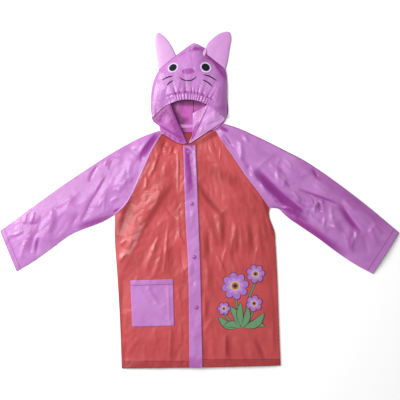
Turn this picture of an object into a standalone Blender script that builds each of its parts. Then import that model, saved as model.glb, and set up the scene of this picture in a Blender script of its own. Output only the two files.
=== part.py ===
"""A child's hooded raincoat of soft vinyl, laid flat on its back.

Each piece that a maker would cut is one closed solid of its own: the back, two fronts, two raglan sleeves, the
button band with four snap caps, a patch pocket, the two halves of the hood's back, the hood's crown with its
gathered brim, the two hood sides turned out as lapels, and two ears.

Frame: X to the right and Y towards the hood, as seen from above, and Z up from the table. The origin is the
middle of the coat's box, on the table. "Left" and "right" are as seen from above. The tables below are in
millimetres, and solid() turns them to metres.
"""

import math

import bpy
import numpy as np
from mathutils import Vector
from mathutils.bvhtree import BVHTree

MM = 0.001

# ---- cloth ----------------------------------------------------------------------------------------------------
WALL = 1.2  # thickness of every cloth wall
GAP = 0.3  # between layers and at seams
LAYER = WALL + GAP  # what one more layer adds in height
TWO_LAYERS = 2 * WALL + GAP  # height of the coat along its closed edges

# ---- outlines on the table: x, y ------------------------------------------------------------------------------
SIDE_LEFT = ((-214, -463), (-219, -328), (-227, -194), (-233, -110), (-233, -35))  # hem to underarm
SIDE_RIGHT = ((222, -455), (217, -328), (212, -194), (205, -86), (188, -48), (192, -22))
RAGLAN_LEFT = ((-233, -35), (-209, -20), (-173, 43), (-154, 85), (-130, 138), (-105, 181))  # underarm to neck
RAGLAN_RIGHT = ((192, -22), (163, 18), (121, 74), (91, 119), (57, 169), (45, 189))
UNDER_LEFT = ((-499, -195), (-445, -162), (-392, -126), (-348, -90), (-325, -78), (-255, -50), (-233, -35))
UNDER_RIGHT = ((476, -204), (424, -175), (376, -143), (301, -86), (227, -33), (213, -25), (192, -22))
SHOULDER_LEFT = ((-548.5, -85), (-339, 65), (-198, 153), (-156, 174), (-111, 190))  # cuff to neck
SHOULDER_RIGHT = ((548.5, -91), (454, -12), (363, 55), (286, 107), (244, 135), (152, 178), (68, 209))
BAND_LEFT = ((-28, -460), (-34, -135), (-37, -83), (-45, 150))  # hem to neck
BAND_RIGHT = ((8, -460), (0, -135), (-2, -83), (-11, 150))
BAND_TOP = 150
NECK_LEFT = ((-105, 181), (-84, 168), (-62, 155), (-45, 150))  # raglan to band, front layer
NECK_RIGHT = ((45, 189), (24, 187), (4, 174), (-11, 163))
NECK_UNDERLAP = 150.5  # y of the right front's top edge in the middle of the band
NECK_BACK = ((-105, 181), (-68, 185), (-21, 185.5), (23, 189), (45, 189))
HOOD_LEFT = ((-130, 227), (-134, 273), (-130, 313), (-113, 355))  # brim's corner to ear
EAR_BASE_LEFT = ((-113, 355), (-65, 397))
HOOD_TOP = ((-65, 397), (-42, 416), (-19, 430), (1, 421), (13, 404))
EAR_BASE_RIGHT = ((13, 404), (71, 358))
HOOD_RIGHT = ((71, 358), (74, 340), (76, 286), (74, 226))
BRIM = ((-127, 226), (-93, 259), (-62, 270), (-32, 274), (-2, 269), (24, 258), (70, 223))

# ---- how high the upper layer stands --------------------------------------------------------------------------
LOFT = 9.0  # rise of the upper layer over the closed edges
LOFT_REACH = 35.0  # how soon it gets there
OPEN_END_DROP = 0.35  # share of the loft lost at the hem and the cuffs
OPEN_END_REACH = 55.0
HEM_STEP = 0.5  # what the turned-up hem adds
LAP_START = 22.0  # the left front starts to rise this far before the band
LAP_RUN = 18.0  # and is one layer higher after this

# Folds of the fronts and sleeves. x1, y1, x2, y2: its line; reach: half width; rise: height, or depth if negative.
FOLDS = (
    # x1, y1, x2, y2, reach, rise
    (-109, -6, -153, -78, 15, -4.5),  # long slanting trough of the left front
    (-153, -78, -216, -237, 15, -4.0),
    (-150, -40, -205, -180, 13, 2.5),
    (-112, -95, -150, -175, 12, 2.0),
    (-187, -32, -220, -89, 13, -3.0),  # below the left underarm
    (-100, -67, -82, -214, 12, 1.8),  # packing crease down to the pocket
    (-60, -90, -42, -150, 12, -2.0),
    (-118, 108, -150, 40, 14, 2.5),
    (-75, 90, -85, 10, 18, 1.8),
    (-10, 32, 55, -55, 15, -4.0),  # right front, from the band outward
    (75, 20, 95, -85, 15, 2.6),
    (120, -5, 112, -130, 14, -2.6),
    (150, -30, 160, -150, 14, 2.4),
    (180, -95, 178, -210, 13, -2.2),
    (69, -374, 75, -440, 12, -2.6),  # at the hem
    (154, -378, 189, -440, 13, -2.4),
    (-150, -400, -140, -462, 13, 2.0),
    (158, 78, 221, 24, 13, -5.5),  # right sleeve
    (221, 24, 268, -14, 13, -4.0),
    (170, 100, 250, 60, 14, 3.0),
    (287, 24, 388, -12, 12, -3.0),
    (330, -20, 420, -95, 16, 3.0),
    (-252, 68, -329, -56, 15, -4.5),  # left sleeve
    (-235, 62, -285, -30, 13, 3.5),
    (-274, 98, -300, 50, 13, 2.5),
    (-420, -28, -466, -110, 14, -3.0),
    (-370, 0, -410, -80, 14, 2.6),
    (-128, 165, -168, 118, 13, -3.0),  # left shoulder
)
FOLD_REACH = 26.0  # distance from a closed edge over which the folds die out

# ---- grids ----------------------------------------------------------------------------------------------------
RAGLAN_STEPS = 10  # facets along a raglan seam, shared by front, back and sleeve
SLEEVE_STEPS = 20  # sections along a sleeve
ROWS = (
    # Rows of the fronts below the underarms: y at the left side seam, at the band and at the right side seam.
    (-463, -460, -455),
    (-448, -445, -440),
    (-421, -416, -411),
    (-386, -380, -376),
    (-350, -344.5, -341),
    (-318, -312.5, -309),
    (-286, -280.5, -277),
    (-254, -248.5, -246),
    (-235, -229.5, -227),
    (-222, -216.5, -214),
    (-196, -192, -189),
    (-170, -168, -164),
    (-140, -140, -134),
    (-110, -110, -104),
    (-84, -84, -78),
    (-59, -59, -50),
    (-35, -35, -22),
)
POCKET_ROWS = (4, 9)  # rows that bound the pocket
POCKET_HEM_ROW = 8  # its top hem starts here
POCKET_COLUMNS = (3, 9)
POCKET_HEM_STEP = 0.6
# Columns of a front, as shares of the way from the side to the band.
COLUMNS_LEFT = (0, 0.06, 0.12, 0.186, 0.287, 0.387, 0.488, 0.589, 0.69, 0.79, 0.86, 0.93, 1)
COLUMNS_RIGHT = tuple(step / 12 for step in range(13))

# ---- hood -----------------------------------------------------------------------------------------------------
CROWN_LOFT = 15.0  # rise of the crown near its top
BRIM_LOFT = 8.5  # what is added towards the brim
BRIM_LOFT_Y = (235, 370)  # y between which that extra fades
CROWN_REACH = 30.0
CROWN_CORNER = 3.6  # extra height of the crown's edge at the brim's corners, over the tucked lapels
CROWN_CORNER_Y = (232, 272)  # y between which it fades
CROWN_ROWS = (0, 0.10, 0.22, 0.36, 0.50, 0.62, 0.72, 0.79, 0.84, 0.885, 0.93, 0.965, 1)
# Columns of the crown over each stretch of its outline.
CROWN_COLUMNS = ((HOOD_LEFT, 14), (EAR_BASE_LEFT, 8), (HOOD_TOP, 14), (EAR_BASE_RIGHT, 10), (HOOD_RIGHT, 20))
BRIM_COLUMNS = ((0, 0.14, 6), (0.14, 0.84, 54), (0.84, 1, 6))  # from share, to share, columns
GATHERS = 18  # in the middle stretch of the brim
GATHER_RISE = 1.5
ELASTIC_ROW = 0.885  # share of the way from outline to brim where the elastic runs
ELASTIC_DEPTH = 2.2
CROWN_FOLDS = (
    # x1, y1, x2, y2, reach, rise
    (18, 396, 45, 372, 7, -3.0),  # fold under the right ear
    (45, 372, 68, 337, 7, -3.0),
    (-60, 395, -30, 408, 6, -2.0),  # seam below the peak
    (-30, 408, 8, 412, 6, -2.0),
    (50, 330, 56, 250, 9, -3.0),  # side panel on the right
    (40, 345, 45, 255, 9, 2.0),
)

CROWN_FOLD_REACH = 14.0  # distance from the outline over which they die out

# Hood sides, each folded back on itself as a lapel. One row for each section, from the foot of the neck opening
# up: where the lower layer starts, the fold, the ridge and the free edge, with the heights of the wall's middle.
HOOD_SIDE_LEFT = (
    # start x, y, z; fold x, y, low z, high z; ridge x, y, z; free x, y, z
    (-43, 152.5, 2.1, -35.0, 155.5, 2.2, 4.2, -37.0, 155.0, 4.2, -40.0, 154.0, 3.9),
    (-62, 157.0, 2.1, -44.0, 179.0, 2.6, 8.5, -48.5, 177.5, 8.4, -63.0, 169.0, 4.2),
    (-84, 170.5, 2.1, -55.0, 205.0, 2.8, 11.0, -61.0, 203.0, 11.0, -88.0, 188.0, 4.2),
    (-103, 183.5, 2.1, -66.0, 231.0, 2.8, 12.0, -72.5, 228.0, 12.0, -112.0, 206.0, 4.2),
    (-109, 196.0, 2.1, -74.5, 253.0, 2.8, 12.0, -81.0, 249.0, 12.0, -125.0, 217.5, 3.9),
    (-121, 233.0, 2.1, -81.0, 273.0, 2.8, 11.0, -87.0, 268.0, 11.0, -129.5, 228.0, 3.7),
)
HOOD_SIDE_RIGHT = (
    (-25, 157.5, 2.1, -31.0, 156.0, 2.2, 4.0, -28.5, 156.5, 5.0, -26.0, 155.0, 5.3),
    (-9, 167.0, 2.1, -24.5, 175.0, 2.2, 4.4, -18.0, 180.0, 9.0, 0.0, 172.0, 5.5),
    (7, 179.5, 2.1, -20.5, 191.0, 2.3, 4.6, -8.0, 201.0, 12.5, 24.0, 188.0, 5.8),
    (26, 190.5, 2.1, -19.5, 208.0, 2.3, 4.8, 3.0, 219.0, 14.5, 48.0, 203.5, 6.0),
    (52, 199.5, 2.1, -19.0, 224.0, 2.3, 4.8, 14.0, 240.0, 15.5, 66.0, 216.0, 5.6),
    (70, 226.0, 2.1, -19.0, 238.0, 2.3, 4.8, 25.0, 262.0, 15.5, 71.5, 229.5, 4.9),
)
HOOD_SIDE_ROWS = 13
# Facets across a hood side: lower layer, fold, fold to ridge, ridge to free edge.
HOOD_SIDE_STEPS = (3, 5, 2, 4)

# Ears: x, y along each long side, from the base to the tip.
EAR_LEFT = (
    ((-112.5, 355.8), (-116, 382), (-122, 450), (-120, 456)),
    ((-65.6, 396.9), (-80, 426), (-98, 447), (-114, 458)),
)
EAR_RIGHT = (
    ((13.3, 404.5), (18, 423), (36, 444), (54, 457), (72, 463)),
    ((71.4, 358.5), (78, 386), (82, 413), (86, 449), (83, 460)),
)
EAR_PUFF = 1.0  # what the middle of an ear stands over its edge

# ---- fastenings -----------------------------------------------------------------------------------------------
SNAPS = ((-29, 131), (-21, -11), (-15, -157), (-9, -295))  # x, y
# Turned profile of a snap cap: radius, height over the band.
SNAP_PROFILE = ((5.5, 0.0), (5.5, 0.9), (4.6, 1.6), (3.4, 1.5), (1.8, 2.1), (0.0, 2.3))
SNAP_SIDES = 14

# ---- finish ---------------------------------------------------------------------------------------------------
RED = (0.58, 0.085, 0.09, 1)
LILAC = (0.62, 0.28, 0.66, 1)
PALE_LILAC = (0.74, 0.40, 0.78, 1)
DEEP_LILAC = (0.52, 0.22, 0.58, 1)


# ---- curves and distances -------------------------------------------------------------------------------------
def along(points, shares):
    """Points at the given shares of the length of a smooth curve through an outline's points."""
    points = np.asarray(points, float)
    knots = np.append(0.0, np.cumsum(np.linalg.norm(np.diff(points, axis=0), axis=1)))
    slopes = np.gradient(points, knots, axis=0)
    at = np.asarray(shares, float) * knots[-1]
    i = np.clip(np.searchsorted(knots, at, side="right") - 1, 0, len(knots) - 2)
    span = (knots[i + 1] - knots[i])[:, None]
    u = (at - knots[i])[:, None] / span
    start = points[i] * (2 * u**3 - 3 * u**2 + 1) + slopes[i] * span * (u**3 - 2 * u**2 + u)
    return start + points[i + 1] * (3 * u**2 - 2 * u**3) + slopes[i + 1] * span * (u**3 - u**2)


def steps(count):
    """count + 1 even shares from 0 to 1."""
    return np.linspace(0, 1, count + 1)


def at_level(points, levels):
    """Points of a smooth outline at the given values of y."""
    dense = along(points, steps(200))
    return np.column_stack([np.interp(levels, dense[:, 1], dense[:, 0]), levels])


def ease(value):
    """Smooth step from 0 to 1 as value goes from 0 to 1."""
    value = np.clip(value, 0, 1)
    return value * value * (3 - 2 * value)


def fade(value, full, gone):
    """1 up to full, then smoothly down to 0 at gone."""
    return ease((gone - value) / (gone - full))


def distance_to(x, y, outlines):
    """Distance of each point to the nearest of several outlines."""
    nearest = np.full(np.shape(x), np.inf)
    for outline in outlines:
        line = along(outline, steps(24))
        for (ax, ay), (bx, by) in zip(line[:-1], line[1:]):
            nearest = np.minimum(nearest, segment_distance(x, y, ax, ay, bx, by))
    return nearest


def segment_distance(x, y, ax, ay, bx, by):
    """Distance of each point to the line from a to b."""
    dx, dy = bx - ax, by - ay
    share = np.clip(((x - ax) * dx + (y - ay) * dy) / (dx * dx + dy * dy), 0, 1)
    return np.hypot(x - ax - share * dx, y - ay - share * dy)


def folds_at(x, y, folds):
    """Sum of the folds: each is a bell across its line, reach wide, rise high."""
    total = np.zeros(np.shape(x))
    for x1, y1, x2, y2, reach, rise in folds:
        total = total + rise * np.exp(-((segment_distance(x, y, x1, y1, x2, y2) / reach) ** 2))
    return total


# ---- heights --------------------------------------------------------------------------------------------------
CLOSED_EDGES = (SIDE_LEFT, SIDE_RIGHT, UNDER_LEFT, UNDER_RIGHT, SHOULDER_LEFT, SHOULDER_RIGHT, NECK_LEFT, NECK_RIGHT)
OPEN_EDGES = (
    ((-214, -463), (8, -459), (222, -455)),
    ((-548, -85), (-499, -195)),
    ((549, -91), (476, -204)),
)


def coat_height(x, y):
    """Top of the coat's upper layer: two layers at a closed edge, then the loft and the folds."""
    edge = distance_to(x, y, CLOSED_EDGES)
    loft = LOFT * (1 - np.exp(-edge / LOFT_REACH))
    folds = folds_at(x, y, FOLDS) * (1 - np.exp(-((edge / FOLD_REACH) ** 2)))
    opening = distance_to(x, y, OPEN_EDGES)
    drop = 1 - OPEN_END_DROP * np.exp(-((opening / OPEN_END_REACH) ** 2))
    return TWO_LAYERS + np.maximum((loft + folds) * drop, 0)


def band_lift(x, y):
    """Extra height of the left front where it laps over the right one."""
    band = at_level(BAND_LEFT, np.ravel(y))[:, 0].reshape(np.shape(y))
    return LAYER * ease((x - band + LAP_START) / LAP_RUN)


def crown_outline():
    """Outline of the crown, from the brim's left corner over the peak to the right one."""
    return np.vstack([along(path, steps(count))[:-1] for path, count in CROWN_COLUMNS] + [[HOOD_RIGHT[-1]]])


def crown_height(x, y):
    """Top of the hood's crown: rises from its outline, and more towards the brim."""
    edge = distance_to(x, y, [path for path, _ in CROWN_COLUMNS])
    corner = CROWN_CORNER * fade(y, *CROWN_CORNER_Y)
    loft = (CROWN_LOFT + BRIM_LOFT * fade(y, *BRIM_LOFT_Y)) * (1 - np.exp(-edge / CROWN_REACH))
    folds = folds_at(x, y, CROWN_FOLDS) * (1 - np.exp(-((edge / CROWN_FOLD_REACH) ** 2)))
    return TWO_LAYERS + corner + np.maximum(loft + folds, 0)


# ---- meshes ---------------------------------------------------------------------------------------------------
def solid(name, points, faces, material):
    """Object from points in millimetres, its faces turned outward."""
    points = np.asarray(points, float) * MM
    if signed_volume(points, faces) < 0:
        faces = [face[::-1] for face in faces]
    mesh = bpy.data.meshes.new(name)
    mesh.from_pydata([tuple(point) for point in points], [], faces)
    mesh.materials.append(material)
    mesh.update()
    obj = bpy.data.objects.new(name, mesh)
    bpy.context.scene.collection.objects.link(obj)
    return obj


def signed_volume(points, faces):
    """Volume inside a closed surface, negative where its faces point inward."""
    total = 0.0
    for face in faces:
        for second, third in zip(face[1:-1], face[2:]):
            total += np.dot(points[face[0]], np.cross(points[second], points[third])) / 6
    return total


def grid_faces(rows, columns, offset):
    """Triangles of a grid of points that starts at offset, all cut along the same diagonal."""
    faces = []
    for row in range(rows - 1):
        for column in range(columns - 1):
            a = offset + row * columns + column
            faces += [(a, a + 1, a + columns + 1), (a, a + columns + 1, a + columns)]
    return faces


def slab(name, top, bottom, material):
    """Closed wall between two grids of the same shape."""
    rows, columns = top.shape[:2]
    count = rows * columns
    faces = grid_faces(rows, columns, 0)
    faces += [face[::-1] for face in grid_faces(rows, columns, count)]
    rim = list(range(columns))
    rim += [row * columns + columns - 1 for row in range(1, rows)]
    rim += [(rows - 1) * columns + column for column in range(columns - 2, -1, -1)]
    rim += [row * columns for row in range(rows - 2, 0, -1)]
    for a, b in zip(rim, rim[1:] + rim[:1]):
        faces.append((b, a, a + count, b + count))
    return solid(name, np.vstack([top.reshape(-1, 3), bottom.reshape(-1, 3)]), faces, material)


def plate(name, outline, material):
    """Flat layer on the table, from a closed outline."""
    count = len(outline)
    points = [(x, y, z) for z in (0, WALL) for x, y in outline]
    faces = [tuple(range(count - 1, -1, -1)), tuple(range(count, 2 * count))]
    for a in range(count):
        b = (a + 1) % count
        faces.append((a, b, b + count, a + count))
    return solid(name, points, faces, material)


def tube(name, outer, inner, material):
    """Open tube between two stacks of rings."""
    sections, ring = outer.shape[:2]
    count = sections * ring
    last = (sections - 1) * ring
    faces = []
    for a in range(ring):
        b = (a + 1) % ring
        for start in range(0, last, ring):
            quad = (start + a, start + b, start + ring + b, start + ring + a)
            faces.append(quad)
            faces.append(tuple(i + count for i in quad[::-1]))
        faces.append((b, a, a + count, b + count))
        faces.append((last + a, last + b, last + b + count, last + a + count))
    return solid(name, np.vstack([outer.reshape(-1, 3), inner.reshape(-1, 3)]), faces, material)


# ---- coat -----------------------------------------------------------------------------------------------------
def front_grid(side, raglan, neck, band_near, band_far, levels, columns, middle_y):
    """Plan of a front: rows from the hem to the neck, columns from the side to the band's far edge."""
    levels = np.asarray(levels, float)
    seam = along(raglan, steps(RAGLAN_STEPS))
    outer = np.vstack([at_level(side, levels[:-1, 0]), seam])
    climb = np.append(np.zeros(len(levels) - 1), (seam[:, 1] - seam[0, 1]) / (seam[-1, 1] - seam[0, 1]))
    band_y = np.append(levels[:-1, 1], levels[-1, 1] + steps(RAGLAN_STEPS) * (BAND_TOP - levels[-1, 1]))
    near, far = at_level(band_near, band_y), at_level(band_far, band_y)
    middle = (near + far) / 2
    middle[-1, 1] = middle_y
    near[-1] = neck[-1]
    share = np.asarray(columns, float)[None, :, None]
    plan = outer[:, None] * (1 - share) + near[:, None] * share
    bow = along(neck, columns) - plan[-1]
    plan = plan + bow[None] * (climb**2)[:, None, None]
    return np.concatenate([plan, middle[:, None], far[:, None]], axis=1)


def with_height(plan, height):
    return np.concatenate([plan, height[..., None]], axis=2)


def lowered(grid, drop):
    return grid - np.array([0, 0, drop])


def hem_step(plan):
    """The turned-up hem thickens the first two rows of a front."""
    step = np.zeros(plan.shape[:2])
    step[:2] = HEM_STEP
    return step


def left_front_top():
    levels = [(left, band) for left, band, _ in ROWS]
    plan = front_grid(SIDE_LEFT, RAGLAN_LEFT, NECK_LEFT, BAND_LEFT, BAND_RIGHT, levels, COLUMNS_LEFT, BAND_TOP)
    x, y = plan[..., 0], plan[..., 1]
    return with_height(plan, coat_height(x, y) + band_lift(x, y) + hem_step(plan))


def right_front_top():
    levels = [(right, band) for _, band, right in ROWS]
    edges = (BAND_RIGHT, BAND_LEFT, levels, COLUMNS_RIGHT, NECK_UNDERLAP)
    plan = front_grid(SIDE_RIGHT, RAGLAN_RIGHT, NECK_RIGHT, *edges)[:, ::-1]  # left to right, as the left front
    return with_height(plan, coat_height(plan[..., 0], plan[..., 1]) + hem_step(plan))


def make_back(material):
    levels = np.asarray(ROWS, float)[:-1]
    side_left = at_level(SIDE_LEFT, levels[:, 0])
    side_right = at_level(SIDE_RIGHT, levels[:, 2])
    seam_left = along(RAGLAN_LEFT, steps(RAGLAN_STEPS))
    seam_right = along(RAGLAN_RIGHT, steps(RAGLAN_STEPS))
    neck = along(NECK_BACK, steps(10))[1:-1]
    outline = np.vstack([side_left, seam_left, neck, seam_right[::-1], side_right[::-1]])
    return plate("back_panel", outline, material)


def make_sleeve(name, under, shoulder, raglan, material):
    """Flattened tube from the cuff to the raglan seam, flat below, lofted above."""
    share = steps(SLEEVE_STEPS)
    low = along(under, share)
    high = np.vstack([along(shoulder, steps(SLEEVE_STEPS - 1)), [raglan[-1]]])
    seam = along(raglan, steps(RAGLAN_STEPS))
    width = steps(RAGLAN_STEPS)[None, :, None]
    chord = seam[0] * (1 - width[0]) + seam[-1] * width[0]
    plan = low[:, None] * (1 - width) + high[:, None] * width
    plan = plan + (seam - chord)[None] * (share**3)[:, None, None]
    across = plan[:, -1] - plan[:, 0]
    across = across / np.linalg.norm(across, axis=1)[:, None]
    away = np.column_stack([across[-1, 1], -across[-1, 0]])
    away = away * np.sign(np.sum(away * (plan[0, 5] - plan[-1, 5])))
    plan[-1] = plan[-1] + away * (GAP + 0.1)
    outer = sleeve_rings(plan, across, 0.0, 0.9, 0.0)
    inner = sleeve_rings(plan, across, WALL + 0.1, WALL + 0.8, WALL)
    return tube(name, outer, inner, material)


def sleeve_rings(plan, across, edge_inset, corner_inset, wall):
    """Rings of a flattened tube: an edge point, the flat lower path, the other edge point, the lofted upper path."""
    path = plan.copy()
    path[:, 0] += across * corner_inset
    path[:, -1] -= across * corner_inset
    top = with_height(path, coat_height(path[..., 0], path[..., 1]) - wall)
    top[..., 2] = np.maximum(top[..., 2], wall + GAP)
    bottom = with_height(path, np.full(path.shape[:2], wall))
    first = np.column_stack([plan[:, 0] + across * edge_inset, np.full(len(plan), TWO_LAYERS / 2)])
    last = np.column_stack([plan[:, -1] - across * edge_inset, np.full(len(plan), TWO_LAYERS / 2)])
    return np.concatenate([first[:, None], bottom, last[:, None], top[:, ::-1]], axis=1)


def make_band(front, material):
    """Button band on the left front, from the front's own points moved up."""
    block = front[:, len(COLUMNS_LEFT) - 1 :]
    return slab("button_band", lowered(block, -LAYER), lowered(block, -GAP), material)


def make_pocket(front, material):
    """Patch pocket from the front's own points moved up, thicker along its hem."""
    first, last = POCKET_ROWS
    left, right = POCKET_COLUMNS
    block = front[first : last + 1, left : right + 1]
    top = lowered(block, -LAYER)
    top[POCKET_HEM_ROW - first :, :, 2] += POCKET_HEM_STEP
    return slab("patch_pocket", top, lowered(block, -GAP), material)


def make_snaps(band, material):
    """Turned caps whose rim follows the band under it."""
    tree = BVHTree.FromPolygons([v.co for v in band.data.vertices], [p.vertices for p in band.data.polygons])
    angle = 2 * math.pi * np.arange(SNAP_SIDES) / SNAP_SIDES
    rim_radius = SNAP_PROFILE[0][0]
    rings = len(SNAP_PROFILE) - 1
    for number, (x, y) in enumerate(SNAPS, start=1):
        middle = height_on(tree, x, y) + GAP
        rim = [height_on(tree, x + rim_radius * math.cos(a), y + rim_radius * math.sin(a)) + GAP for a in angle]
        points = []
        for radius, rise in SNAP_PROFILE[:-1]:
            for a, rim_z in zip(angle, rim):
                base = middle + (rim_z - middle) * radius / rim_radius
                points.append((x + radius * math.cos(a), y + radius * math.sin(a), base + rise))
        points.append((x, y, middle + SNAP_PROFILE[-1][1]))
        points.append((x, y, middle))
        faces = []
        tip, foot = len(points) - 2, len(points) - 1
        inmost = (rings - 1) * SNAP_SIDES
        for side in range(SNAP_SIDES):
            turned = (side + 1) % SNAP_SIDES
            for start in range(0, inmost, SNAP_SIDES):
                a, b = start + side, start + turned
                faces.append((a, b, b + SNAP_SIDES, a + SNAP_SIDES))
            faces.append((inmost + side, inmost + turned, tip))
            faces.append((turned, side, foot))
        solid(f"snap_{number}", points, faces, material)


def height_on(tree, x, y):
    """Height in millimetres of a mesh at a place, as met from above."""
    hit, _, _, _ = tree.ray_cast(Vector((x * MM, y * MM, 1)), Vector((0, 0, -1)))
    return hit.z / MM


# ---- hood -----------------------------------------------------------------------------------------------------
def make_hood_backs(material):
    """Two flat halves that meet at the centre seam, from the peak down to the neck."""
    arch = crown_outline()
    peak = int(np.argmax(arch[:, 1]))
    seam_x = arch[peak, 0]
    neck = along(NECK_BACK, steps(10)) + np.array([0, GAP + 0.2])
    neck_seam = (seam_x, float(np.interp(seam_x, neck[:, 0], neck[:, 1])))
    half_gap = np.array([GAP / 2, 0])
    neck_left = neck[(neck[:, 0] < seam_x - 4)]
    neck_right = neck[(neck[:, 0] > seam_x + 4)]
    neck_left[0] = (-103.5, 183)
    neck_right[-1] = (45.5, 190.5)
    corner_left = ((-109.8, 191.5), (-111, 205), (-119, 214))
    corner_right = ((66.5, 211.5), (70, 219))
    left = np.vstack([arch[: peak + 1] - half_gap, [neck_seam - half_gap], neck_left[::-1], corner_left])
    right = np.vstack([arch[peak:] + half_gap, corner_right[::-1], neck_right[::-1], [neck_seam + half_gap]])
    plate("hood_back_left", left, material)
    plate("hood_back_right", right, material)


def brim_shares():
    parts = [start + (stop - start) * steps(count)[:-1] for start, stop, count in BRIM_COLUMNS]
    return np.append(np.concatenate(parts), 1.0)


def make_crown(material):
    """Crown from its outline to the brim, with gathers along the elastic."""
    arch = crown_outline()
    shares = brim_shares()
    brim = along(BRIM, shares)
    row = np.asarray(CROWN_ROWS)[:, None, None]
    plan = arch[None] * (1 - row) + brim[None] * row
    height = crown_height(plan[..., 0], plan[..., 1])
    start, stop, _ = BRIM_COLUMNS[1]
    place = (shares - start) / (stop - start)
    wave = np.where((place > 0) & (place < 1), np.cos(2 * math.pi * GATHERS * place), 0)
    inside = ease(place * 6) * ease((1 - place) * 6)
    down = np.asarray(CROWN_ROWS)[:, None]
    ruffle = GATHER_RISE * np.exp(-(((down - 0.95) / 0.10) ** 2))
    pinch = ELASTIC_DEPTH * np.exp(-(((down - ELASTIC_ROW) / 0.035) ** 2))
    height = height + (wave * ruffle - pinch) * inside
    top = with_height(plan, height)
    return slab("hood_crown", top, lowered(top, WALL), material)


def make_hood_side(name, table, material):
    """Wall folded back on itself: lower layer, round fold, then the upper layer over a ridge to its free edge."""
    rows = np.asarray(table, float)
    shares = steps(len(rows) - 1)
    fine = steps(HOOD_SIDE_ROWS - 1)
    rows = np.column_stack([np.interp(fine, shares, column) for column in rows.T])
    start, fold, ridge, free = rows[:, 0:3], rows[:, 3:5], rows[:, 7:10], rows[:, 10:13]
    low, high = rows[:, 5], rows[:, 6]
    radius = (high - low) / 2
    out = fold - (start[:, :2] + ridge[:, :2]) / 2
    out = out / np.linalg.norm(out, axis=1)[:, None]
    centre = fold - out * (radius + WALL / 2)[:, None]
    outer, inner = [], []
    lower_steps, fold_steps, ridge_steps, free_steps = HOOD_SIDE_STEPS
    foot = np.column_stack([centre, low])
    knee = np.column_stack([centre, high])
    half = np.array([0, 0, WALL / 2])
    for share in steps(lower_steps)[:-1]:
        point = start * (1 - share) + foot * share
        outer.append(point - half)
        inner.append(point + half)
    for turn in steps(fold_steps) * math.pi:
        for path, offset in ((outer, WALL / 2), (inner, -WALL / 2)):
            reach = (radius + offset) * math.sin(turn)
            z = (low + high) / 2 - (radius + offset) * math.cos(turn)
            path.append(np.column_stack([centre + out * reach[:, None], z]))
    for first, last, count in ((knee, ridge, ridge_steps), (ridge, free, free_steps)):
        for share in steps(count)[1:]:
            point = first * (1 - share) + last * share
            outer.append(point + half)
            inner.append(point - half)
    return slab(name, np.stack(outer, axis=1), np.stack(inner, axis=1), material)


def make_ear(name, sides, material):
    """Flat ear: a grid between its two long sides, a little fuller in the middle."""
    share = 1 - (1 - steps(9)) ** 1.6
    first, second = along(sides[0], share), along(sides[1], share)
    width = steps(4)
    plan = first[:, None] * (1 - width[None, :, None]) + second[:, None] * width[None, :, None]
    puff = EAR_PUFF * np.sin(math.pi * width)[None, :] * np.sin(math.pi * np.clip(share, 0, 1))[:, None] ** 0.7
    top = with_height(plan, TWO_LAYERS + puff)
    return slab(name, top, with_height(plan, np.zeros(plan.shape[:2])), material)


# ---- the whole coat -------------------------------------------------------------------------------------------
def finish(name, colour, roughness):
    """Principled material of one vinyl colour."""
    material = bpy.data.materials.new(name)
    material.use_nodes = True
    shader = material.node_tree.nodes["Principled BSDF"]
    shader.inputs["Base Color"].default_value = colour
    shader.inputs["Roughness"].default_value = roughness
    shader.inputs["Metallic"].default_value = 0
    return material


def main():
    for obj in list(bpy.data.objects):
        bpy.data.objects.remove(obj, do_unlink=True)
    red = finish("red_vinyl", RED, 0.35)
    lilac = finish("lilac_vinyl", LILAC, 0.35)
    pale = finish("pale_lilac_vinyl", PALE_LILAC, 0.35)
    deep = finish("snap_plastic", DEEP_LILAC, 0.3)

    make_back(red)
    left_top = left_front_top()
    slab("front_left", left_top, lowered(left_top, WALL), red)
    right_top = right_front_top()
    slab("front_right", right_top, lowered(right_top, WALL), red)
    make_sleeve("sleeve_left", UNDER_LEFT, SHOULDER_LEFT, RAGLAN_LEFT, lilac)
    make_sleeve("sleeve_right", UNDER_RIGHT, SHOULDER_RIGHT, RAGLAN_RIGHT, lilac)
    band = make_band(left_top, lilac)
    make_snaps(band, deep)
    make_pocket(left_top, lilac)
    make_hood_backs(lilac)
    make_crown(lilac)
    make_hood_side("hood_side_left", HOOD_SIDE_LEFT, lilac)
    make_hood_side("hood_side_right", HOOD_SIDE_RIGHT, lilac)
    make_ear("ear_left", EAR_LEFT, pale)
    make_ear("ear_right", EAR_RIGHT, pale)


main()
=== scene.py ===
"""Looks of a child's hooded raincoat of soft glossy vinyl, laid flat on its back.

Every piece of the coat is a thin sheet on the form of its solid, with the creases of film that was packed
folded. Frame: X to the right and Y towards the hood, as seen from above, and Z up from the table. Left and
right are as seen from above. The tables are in millimetres, and build() turns them to metres.
"""

import math

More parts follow.
